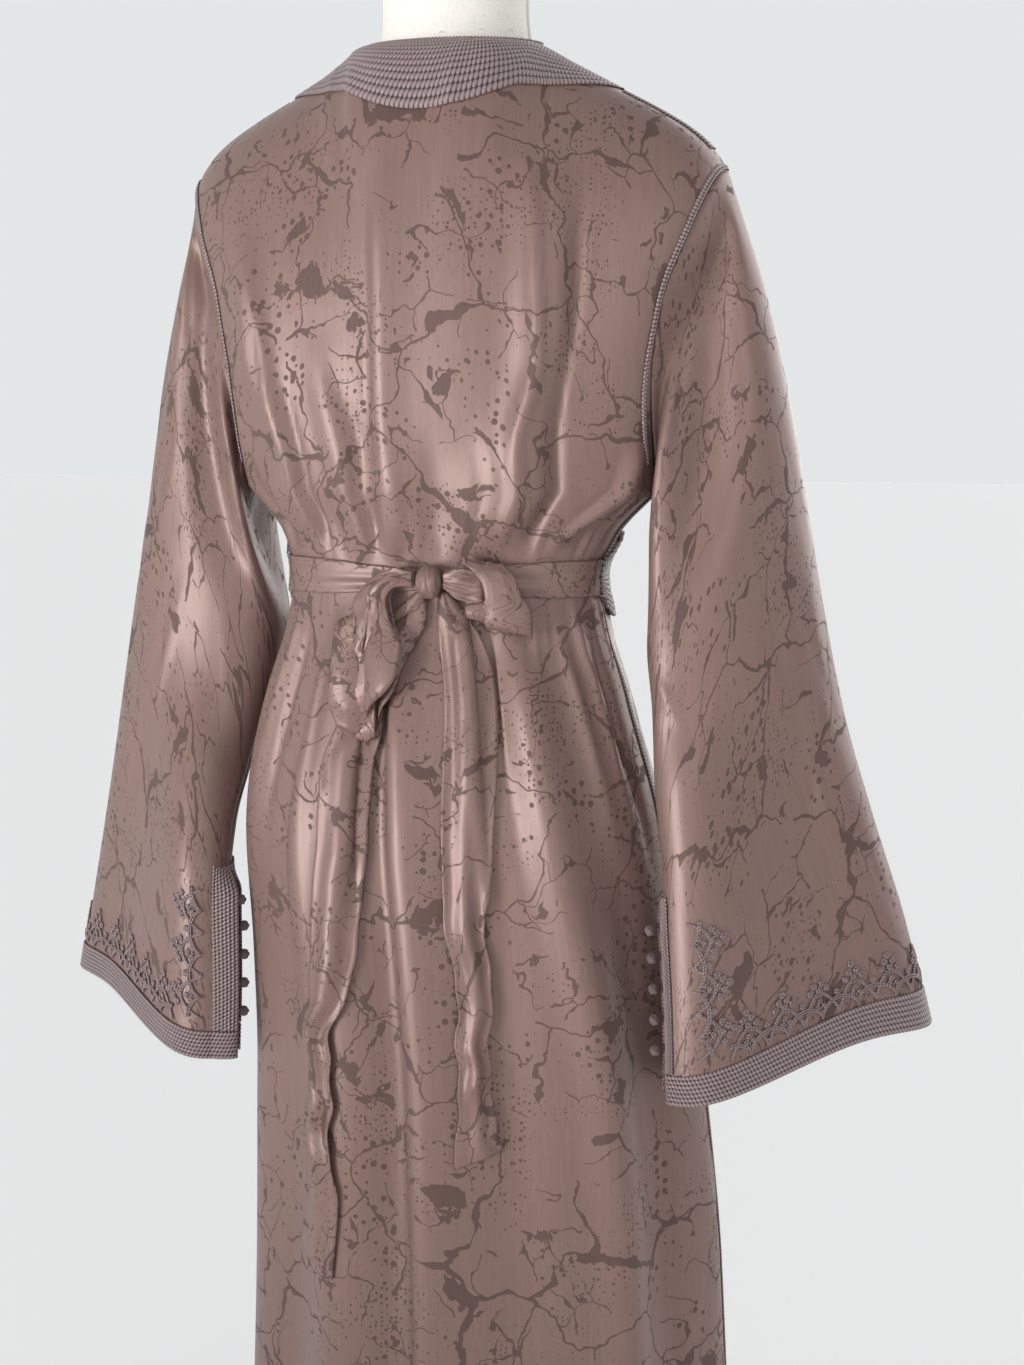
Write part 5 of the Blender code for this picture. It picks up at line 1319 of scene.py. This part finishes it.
@dataclass
class Cuff:
    """Band, cordwork and buttons of one sleeve."""

    side: str
    sleeve: SleeveCloth
    kaftan: Kaftan
    band_top: float = 0.955
    band_rows: int = 7
    repeats: int = 11
    slit_repeats: int = 3
    slit_pitch: float = 0.033
    slit_width: float = 0.026
    wave_height: float = 0.018
    wave_points: int = 26
    cord_radius: float = 0.00075
    cord_gap: float = 0.0017
    cord_rest: float = 0.0004 + 0.00075

    def __post_init__(self) -> None:
        """Measures the cuff, so that ornament can be laid out on it in metres."""
        self.around = np.linspace(0.0, 1.0, 400)
        edge = self.sleeve.at(self.around, 0.97)
        steps = np.linalg.norm(np.diff(edge, axis=0), axis=-1)
        self.run = np.concatenate([[0.0], np.cumsum(steps)])
        fall = self.sleeve.at(self.around, 1.0) - self.sleeve.at(self.around, 0.90)
        self.rate = np.linalg.norm(fall, axis=-1) / 0.10

    def lay(self, paths: Sequence[tuple[Array, Array, float]]) -> list[Array]:
        """Lays flat paths (metres along the cuff, above the band, height out) on the sleeve."""
        counts = [len(path[0]) for path in paths]
        along = np.concatenate([path[0] for path in paths])
        above = np.concatenate([path[1] for path in paths])
        out = np.repeat([path[2] for path in paths], counts)
        around = np.interp(along, self.run, self.around)
        down = self.band_top - above / np.interp(around, self.around, self.rate)
        return np.split(self.sleeve.at(around, down, out), np.cumsum(counts)[:-1])

    def build(self) -> None:
        """Builds all pieces of the cuff."""
        self.build_band()
        self.build_cordwork()
        self.build_buttons()

    def around_for(self, width: float, down: Array) -> Array:
        """Share round the sleeve that a width in metres takes."""
        reach = np.linalg.norm(self.sleeve.at(0.0, down) - self.sleeve.at(0.5, down), axis=-1)
        return width / (2.24 * reach)

    def build_band(self) -> None:
        """The cuff band and the two arms up the slit."""
        def ring(along: Array, across: Array, out: Array) -> Array:
            return self.sleeve.at(along, blend(1.0, self.band_top, across), out)

        band = self.kaftan.band_mesh(f"cuff_band_{self.side}_plaits", ring, 300, self.band_rows,
                                     thickness=CUFF_WALL)
        dress(band, self.kaftan.plait, "braid", "cuff_band_" + self.side)
        for number, first in ((1, True), (2, False)):
            def arm(along: Array, across: Array, out: Array) -> Array:
                down = blend(self.band_top - 0.002, SLIT_TOP + 0.01, along)
                share = self.around_for(self.slit_width, down) * across
                return self.sleeve.at(share if first else 1.0 - share, down, out)

            piece = self.kaftan.band_mesh(f"slit_band_{self.side}_{number}", arm, 100,
                                          self.band_rows, thickness=CUFF_WALL)
            dress(piece, self.kaftan.plait, "braid")

    def coil(self, s: float, h: float, radius: float, turns: float = 2.0,
             start: float = 0.0, hand: float = 1.0) -> tuple[Array, Array, float]:
        """A small flat coil of cord at a place along and above the band."""
        t = np.linspace(0.0, 1.0, int(12 * turns))
        angle = start + hand * t * turns * 2 * math.pi
        size = radius * (0.18 + 0.82 * t)
        return s + size * np.cos(angle), h + size * np.sin(angle), self.cord_rest

    def scallops(self, start: float, pitch: float,
                 repeats: int) -> list[tuple[Array, Array, float]]:
        """A tall and a low wave of doubled cord, with a crown of coils on each peak.

        Args:
            start: Where the first wave starts.
            pitch: Length of one wave.
            repeats: Number of waves.

        Returns:
            Flat paths of (metres along, metres above, height out).
        """
        run = np.linspace(0.0, 1.0, repeats * self.wave_points)
        along = start + run * pitch * repeats
        paths = []
        for shift, tall in ((0.0, 1.0), (0.5, 0.58)):
            for gap in (0.0, self.cord_gap):
                phase = (run * repeats + shift) % 1.0
                wave = self.wave_height * tall * np.sin(math.pi * phase) ** (0.9 * tall)
                height = 0.002 + wave + gap
                raised = 0.8 * self.cord_radius * (shift > 0)
                paths.append((along, height, self.cord_rest + raised))
        stem = np.linspace(0.0, 1.0, 8)
        for k in range(repeats):
            centre, base = start + pitch * (k + 0.5), 0.003 + self.wave_height
            for x, y, size in ((-0.0075, 0.0025, 0.0026), (0.0075, 0.0025, 0.0026),
                               (-0.0036, 0.0070, 0.0026), (0.0036, 0.0070, 0.0026),
                               (0.0, 0.0025, 0.0024), (0.0, 0.0120, 0.0026)):
                paths.append(self.coil(centre + x, base + y, size, 1.9, start=k + x * 300,
                                       hand=1.0 if x <= 0 else -1.0))
            for x, y in ((-0.0034, 0.0115), (0.0034, 0.0115), (0.0, 0.0150)):
                paths.append(self.coil(centre + x, y, 0.0021, 1.6, start=x * 700))
            paths.append((centre + 0.0 * stem, blend(0.002, 0.0115, stem), self.cord_rest))
            if k < repeats - 1:
                for y in (0.0052, 0.0175):
                    paths.append(self.coil(centre + pitch / 2, y, 0.0024, 1.9))
        return paths

    def build_cordwork(self) -> None:
        """The scallops over the cuff band and up both sides of the slit."""
        length, edge, start = float(self.run[-1]), self.slit_width + 0.001, 0.055
        paths = self.scallops(start, (length - 2 * start) / self.repeats, self.repeats)
        for along, above, out in self.scallops(0.010, self.slit_pitch, self.slit_repeats):
            paths.append((edge + above, along, out))
            paths.append((length - edge - above, along, out))
        work = cords_mesh(f"cordwork_{self.side}", self.lay(paths), self.cord_radius, sides=5)
        dress(work, self.kaftan.cord, "braid", "cuff_cordwork_" + self.side)

    def build_buttons(self) -> None:
        """Knotted buttons of cord where the CAD has them."""
        for k in range(BUTTONS):
            node = f"button_{self.side}_{k + 1}"
            centre, radius = middle_and_half(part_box(node))[0], BUTTON_DIAMETER / 2
            ball = ball_mesh(node + "_knot", 24, 14, radius)
            for vertex in ball.data.vertices:
                direction = vertex.co.normalized()
                twist = math.atan2(direction.y, direction.x) * 4 + math.asin(direction.z) * 5
                vertex.co = direction * radius * (0.93 + 0.07 * math.sin(twist)) + Vector(centre)
            bpy.ops.object.shade_smooth()
            dress(ball, self.kaftan.button_cord, "braid", node)


@dataclass(frozen=True)
class Ribbon:
    """One section of a hanging tie end."""

    z: float
    x: float
    width: float
    off: float
    crease: float


@dataclass(frozen=True)
class Loop:
    """One section of a loop of the bow."""

    x: float
    z: float
    width: float
    lean: float
    inner_off: float
    outer_off: float


TAIL_LEFT = tuple(Ribbon(*row) for row in (
    (1.0808, 0.001, 0.009, 0.0010, 0.000), (1.065, 0.006, 0.024, 0.0012, 0.002),
    (1.040, 0.018, 0.032, 0.0012, 0.003), (1.000, 0.036, 0.032, 0.0012, 0.003),
    (0.955, 0.052, 0.034, 0.0012, 0.004), (0.880, 0.055, 0.034, 0.0010, 0.004),
    (0.800, 0.059, 0.030, 0.0010, 0.005), (0.740, 0.067, 0.022, 0.0010, 0.006),
    (0.660, 0.068, 0.024, 0.0010, 0.006), (0.630, 0.069, 0.034, 0.0008, 0.004),
    (0.590, 0.074, 0.040, 0.0006, 0.003), (0.568, 0.079, 0.044, 0.0004, 0.002),
))
TAIL_RIGHT = tuple(Ribbon(*row) for row in (
    (1.0808, -0.0165, 0.009, 0.0010, 0.000), (1.060, -0.026, 0.024, 0.0012, 0.003),
    (1.030, -0.036, 0.034, 0.0012, 0.003), (0.985, -0.042, 0.036, 0.0010, 0.004),
    (0.935, -0.043, 0.038, 0.0010, 0.004), (0.850, -0.043, 0.031, 0.0010, 0.005),
    (0.780, -0.050, 0.024, 0.0010, 0.006), (0.730, -0.050, 0.022, 0.0008, 0.005),
    (0.690, -0.052, 0.028, 0.0006, 0.003), (0.668, -0.055, 0.034, 0.0004, 0.002),
))
LOOP_LEFT = tuple(Loop(*row) for row in (
    (0.0024, 1.0925, 0.015, -88, 0.0085, 0.0135),
    (0.0140, 1.0930, 0.017, -95, 0.0080, 0.0160),
    (0.0260, 1.0830, 0.021, -125, 0.0070, 0.0170),
    (0.0305, 1.0660, 0.030, -155, 0.0060, 0.0180),
    (0.0325, 1.0410, 0.045, -166, 0.0050, 0.0195),
    (0.0360, 1.0160, 0.050, -168, 0.0045, 0.0195),
    (0.0420, 0.9940, 0.044, -160, 0.0040, 0.0165),
    (0.0490, 0.9770, 0.022, -150, 0.0040, 0.0100),
))
LOOP_RIGHT = tuple(Loop(*row) for row in (
    (-0.0190, 1.0905, 0.013, -90, 0.0075, 0.0120),
    (-0.0300, 1.0885, 0.026, -90, 0.0050, 0.0150),
    (-0.0420, 1.0865, 0.029, -88, 0.0045, 0.0150),
    (-0.0510, 1.0850, 0.020, -84, 0.0050, 0.0090),
))
LOOP_FLAP = tuple(Loop(*row) for row in (
    (-0.0452, 1.1070, 0.030, -170, 0.0035, 0.0080),
    (-0.0519, 1.0990, 0.031, -165, 0.0045, 0.0125),
    (-0.0578, 1.0850, 0.027, -160, 0.0050, 0.0150),
    (-0.0608, 1.0720, 0.027, -162, 0.0050, 0.0150),
    (-0.0541, 1.0620, 0.044, -167, 0.0040, 0.0130),
    (-0.0615, 1.0550, 0.034, -167, 0.0035, 0.0110),
    (-0.0712, 1.0490, 0.015, -165, 0.0030, 0.0070),
))


@dataclass
class Bow:
    """The knot at the centre back, its two loops with the folded flap, and the two tails."""

    kaftan: Kaftan
    seed: int = 17
    tail_creases: int = 34
    loop_creases: int = 22

    def finish(self, name: str, shift: tuple[float, float]) -> bpy.types.Material:
        """The satin of a ribbon, its pattern moved so that no two match."""
        return Satin(name, shift=shift, turn=0.2, scale=1.2).build(self.kaftan.effects)

    def build(self) -> None:
        """Builds the bow."""
        self.build_knot()
        for name, table, shift in (("tail_left", TAIL_LEFT, (2.0, 5.0)),
                                   ("tail_right", TAIL_RIGHT, (4.0, 6.0))):
            self.build_tail(name, table, shift)
        for name, table, shift, lift in (("bow_loop_left", LOOP_LEFT, (1.0, 8.0), 0.0022),
                                         ("bow_loop_right", LOOP_RIGHT, (3.0, 9.0), 0.0022),
                                         ("bow_flap", LOOP_FLAP, (6.0, 7.0), 0.0040)):
            self.build_loop(name, table, shift, lift)

    def build_knot(self) -> None:
        """The knot: a wrapped band of satin drawn tight."""
        centre, half = middle_and_half(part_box("belt_knot"))
        knot = ball_mesh("belt_knot_satin", 64, 40, 1.0)
        for vertex in knot.data.vertices:
            x, y, z = vertex.co
            wrap = (math.sin(9.0 * x + 2.2 * z * abs(z)) * 0.035
                    + math.sin(17.0 * x - 3.0 * z) * 0.018)
            waist = 1.0 + 0.10 * abs(z) ** 3
            vertex.co = Vector((x * half[0] * waist * (1 + wrap), y * half[1] * (1 + wrap),
                                z * half[2] * (1 + 0.4 * wrap))) + Vector(centre)
        bpy.ops.object.shade_smooth()
        dress(knot, self.finish("knot_satin", (8.0, 3.0)), "satin", "belt_knot")

    def build_tail(self, name: str, table: tuple[Ribbon, ...], shift: tuple[float, float]) -> None:
        """A hanging end, creased along and crumpled where it is twisted."""
        draw = np.random.default_rng(self.seed + len(name))
        top, foot = table[0].z, table[-1].z
        grid_t, grid_z = np.meshgrid(np.linspace(-1.0, 1.0, 17), np.linspace(top, foot, 230))
        x, width, off, crease = (read(table[::-1], "z", key, grid_z)
                                 for key in ("x", "width", "off", "crease"))
        narrow = np.clip((0.036 - width) / 0.014, 0.0, 1.0)
        height = off + crease * (0.5 + 0.5 * np.cos(math.pi * grid_t * 1.5))
        for _ in range(self.tail_creases):
            middle, slope = draw.uniform(foot, top), draw.uniform(-0.6, 0.6)
            side, size = draw.uniform(-1.0, 1.0), draw.uniform(0.25, 0.5)
            height = height + (0.0005 + 0.0022 * narrow) * draw.choice([-1.0, 1.0]) * np.exp(
                -((grid_z - middle) / draw.uniform(0.010, 0.03)) ** 2
                - ((grid_t - side - slope * (grid_z - middle) * 20) / size) ** 2)
        height = np.maximum(height, 0.0006)
        sway = narrow * (0.0013 * np.sin(grid_z * 160.0) + 0.0016 * np.sin(grid_z * 67.0 + 1.3))
        height = height + (0.0012 + 0.0030 * narrow) * (1.0 - 0.7 * np.abs(grid_t) ** 3)
        slant = 0.006 if name == "tail_left" else -0.007
        cut = slant * grid_t * smooth_step(foot + 0.02, foot, grid_z)
        points = self.kaftan.body.over(x + sway + grid_t * width / 2, grid_z + cut,
                                       height + RIBBON_WALL)
        piece = sheet_mesh(name + "_satin", points, np.array([0.0, 1.0, 0.0]))
        dress(thicken(piece, RIBBON_WALL), self.finish(name + "_finish", shift), "satin", name)

    def build_loop(self, name: str, table: tuple[Loop, ...], shift: tuple[float, float],
                   lift: float) -> None:
        """A loop: the tie runs out, turns over at the tip and comes back."""
        draw = np.random.default_rng(self.seed + 3 * len(name))
        run = np.linspace(0.0, len(table) - 1.0, 16 * (len(table) - 1) + 1)
        keys = np.arange(len(table), dtype=float)
        column = {key: curve(keys, [getattr(row, key) for row in table], run)
                  for key in Loop.__annotations__}
        share, row = np.meshgrid(np.linspace(-1.0, 1.0, 25), np.arange(len(run)))
        lean, half = np.radians(column["lean"])[row], column["width"][row] / 2
        x = column["x"][row] + np.cos(lean) * half * share
        z = column["z"][row] + np.sin(lean) * half * share
        depth = 0.0003 if name == "bow_flap" else 0.0013
        layers = []
        for layer in (0, 1):
            belly = ((0.55 + 0.45 * np.sqrt(np.maximum(0.0, 1.0 - (0.9 * share) ** 2)))
                     * (column["outer_off"] - column["inner_off"])[row])
            off = column["inner_off"][row] + lift + belly * layer
            crumple = np.zeros(off.shape)
            for _ in range(self.loop_creases):
                middle, size = draw.uniform(0.0, run[-1]), draw.uniform(0.4, 1.6)
                at, width = draw.uniform(-1.0, 1.0), draw.uniform(0.10, 0.28)
                slope = draw.uniform(-0.35, 0.35)
                crumple += draw.choice([-1.0, 1.0]) * depth * np.exp(
                    -((run[row] - middle) / size) ** 2
                    - ((share - at - slope * (run[row] - middle)) / width) ** 2)
            points = self.kaftan.body.over(x, z, off + crumple * (0.4 + 0.6 * layer))
            layers.append(points if layer == 0 else points[::-1])
        tip = layers[1][:1] * 0.5 + layers[0][-1:] * 0.5
        direction = unit(layers[0][-1:] - layers[0][-4:-3]) * 0.0015
        points = np.concatenate([layers[0], tip + direction, layers[1]])
        outward = np.concatenate([np.broadcast_to([0.0, -1.0, 0.0], layers[0].shape),
                                  direction, np.broadcast_to([0.0, 1.0, 0.0], layers[1].shape)])
        piece = thicken(sheet_mesh(name + "_satin", points, outward), LOOP_WALL)
        dress(piece, self.finish(name + "_finish", shift), "satin", name)
        size = lengths(points)


@dataclass(frozen=True)
class FormRow:
    """One level section of the torso."""

    z: float
    half_width: float
    back_y: float
    front_y: float


FORM = tuple(FormRow(*row) for row in (
    (0.800, 0.138, 0.112, -0.118), (0.860, 0.150, 0.118, -0.124),
    (0.920, 0.146, 0.112, -0.118), (1.000, 0.128, 0.098, -0.102),
    (1.060, 0.113, 0.086, -0.090), (1.090, 0.110, 0.084, -0.088),
    (1.130, 0.118, 0.086, -0.100), (1.180, 0.134, 0.092, -0.112),
    (1.240, 0.144, 0.098, -0.116), (1.300, 0.156, 0.094, -0.108),
    (1.345, 0.168, 0.082, -0.090), (1.375, 0.178, 0.068, -0.074),
    (1.396, 0.179, 0.058, -0.062), (1.412, 0.172, 0.052, -0.056),
    (1.4245, 0.1600, 0.040, -0.042), (1.4328, 0.1464, 0.038, -0.040),
    (1.4420, 0.1291, 0.038, -0.040), (1.4521, 0.1100, 0.040, -0.042),
    (1.4627, 0.0898, 0.044, -0.047), (1.4740, 0.0640, 0.048, -0.052),
    (1.4840, 0.0570, 0.050, -0.054), (1.510, 0.055, 0.051, -0.054),
    (NECK_TOP_Z, 0.055, 0.052, -0.054),
))


class DressForm:
    """The linen torso with its seams, its turned cap, and the pole and base of the CAD."""

    def build(self) -> None:
        """Builds the torso and dresses the nodes that stay."""
        linen = Linen().build()
        levels = np.unique(np.concatenate([np.linspace(FORM_FOOT_Z, NECK_FOOT_Z, 110),
                                           np.linspace(NECK_FOOT_Z, NECK_TOP_Z, 20)]))
        turn, z = np.meshgrid(np.linspace(0.0, 2 * math.pi, 97), levels)
        row = read_row(FORM, "z", z)
        reach = np.where(np.cos(turn) > 0, row["back_y"], -row["front_y"])
        points = np.stack([row["half_width"] * np.sin(turn), reach * np.cos(turn), z], -1)
        outward = points - np.array([0.0, 0.0, 1.1])
        torso = sheet_mesh("form_torso_linen", points, outward, tube=True)
        activate(torso)
        edit_all(bpy.ops.mesh.region_to_loop, bpy.ops.mesh.edge_face_add)
        bpy.ops.object.shade_smooth_by_angle(angle=math.radians(50.0))
        dress(torso, linen, "linen", "form_torso")
        seams = []
        for bearing in (90.0, -90.0):
            z_line = np.linspace(1.480, NECK_TOP_Z - 0.001, 40)
            angle = math.radians(bearing)
            out = read(FORM, "z", "half_width", z_line) + 0.0006
            seams.append(np.stack([out * math.sin(angle), out * 0.0, z_line], -1))
        piping = cords_mesh("neck_seam_piping", seams, 0.0012, sides=8)
        dress(piping, linen, "linen")
        steel, shade = (0.055, 0.052, 0.050), (0.045, 0.042, 0.040)
        for node, finish in (
                ("form_cap", Hard("turned_wood", (0.42, 0.25, 0.13), (0.26, 0.14, 0.07), 0.42,
                                  grain=(1.0, 8.0, 8.0))),
                ("form_pole", Hard("coated_steel_pole", steel, shade, 0.38, scale=220.0)),
                ("form_base", Hard("coated_steel_base", steel, shade, 0.42, scale=220.0))):
            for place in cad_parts[node].material_slots:
                place.material = finish.build()


@dataclass
class Studio:
    """Pale floor, soft lights and the camera of the photograph."""

    target: tuple[float, float, float] = (-0.02, 0.05, 1.15)

    def build(self) -> None:
        """Builds the set."""
        deselect()
        bpy.ops.mesh.primitive_plane_add(size=60.0, location=(0.0, 0.0, 0.0))
        floor = bpy.context.object
        floor.name = "floor"
        material, wires, shader = new_material("pale_floor")
        wires.feed(shader, {"Base Color": (0.95, 0.945, 0.94, 1.0), "Roughness": 0.9,
                            "Specular IOR Level": 0.1, "Emission Color": (0.96, 0.99, 1.0, 1.0),
                            "Emission Strength": 0.055})
        floor.data.materials.append(material)
        world = bpy.data.worlds.new("soft_sky")
        bpy.context.scene.world = world
        world.use_nodes = True
        wires = Wiring(world.node_tree)
        view = wires.add("SeparateXYZ", {0: wires.add("TexCoord").outputs["Generated"]})
        wall = wires.mix(wires.ramp(view.outputs[2], 0.25, 0.85),
                         (0.93, 0.955, 0.965, 1.0), (0.60, 0.61, 0.62, 1.0))
        wires.feed(world.node_tree.nodes["Background"], {0: wall, 1: 0.83})
        bpy.context.scene.view_settings.view_transform = "Standard"
        for name, place, size, power, spread in (("key", (1.20, 1.75, 0.98), 1.2, 4.2, 34.0),
                                                 ("fill", (-1.3, 2.7, 1.75), 1.7, 14.0, 180.0)):
            light = bpy.data.lights.new(name, "AREA")
            light.size, light.energy, light.spread = size, power, math.radians(spread)
            self.hang(light, Vector(place))
        light = bpy.data.lights.new("front_key", "SUN")
        light.angle, light.energy = math.radians(70.0), 2.3
        self.hang(light, Vector((-1.6, -2.6, 1.7)))
        self.build_camera()

    def hang(self, light: bpy.types.Light, place: Vector) -> None:
        """Hangs a light at a place, turned to the middle of the kaftan."""
        lamp = bpy.data.objects.new(light.name, light)
        bpy.context.scene.collection.objects.link(lamp)
        lamp.location = place
        lamp.rotation_euler = (place - Vector(self.target)).to_track_quat("Z", "Y").to_euler()

    @staticmethod
    def build_camera() -> None:
        """The camera behind the form, to its right and level with the shoulder blades."""
        turn, pitch = math.radians(CAMERA_TURN), math.atan(HORIZON_PIXELS / FOCAL_PIXELS)
        back = Vector((-math.sin(turn), math.cos(turn), 0.0))
        right = Vector((-math.cos(turn), -math.sin(turn), 0.0))
        data = bpy.data.cameras.new("camera")
        data.sensor_fit, data.sensor_height = "VERTICAL", SENSOR
        data.lens = FOCAL_PIXELS * SENSOR / PICTURE_PIXELS
        data.clip_start = 0.05
        camera = bpy.data.objects.new("camera", data)
        bpy.context.scene.collection.objects.link(camera)
        camera.location = (back * CAMERA_DISTANCE + right * CAMERA_SIDEWAYS
                           + Vector((0.0, 0.0, CAMERA_HEIGHT)))
        forward = -back * math.cos(pitch) + Vector((0.0, 0.0, -math.sin(pitch)))
        camera.rotation_euler = forward.to_track_quat("-Z", "Y").to_euler()
        bpy.context.scene.camera = camera


def main() -> None:
    """Builds every piece, then the set."""
    logging.basicConfig(level=logging.INFO, format="%(name)s: %(message)s")
    effects = Effects()
    kaftan = Kaftan(effects)
    kaftan.build_panels()
    kaftan.build_sleeves()
    kaftan.build_neck_band()
    kaftan.build_front_bands()
    kaftan.build_braids()
    kaftan.build_cuffs()
    kaftan.build_belt()
    Bow(kaftan).build()
    DressForm().build()
    Studio().build()


if __name__ == "__main__":
    main()
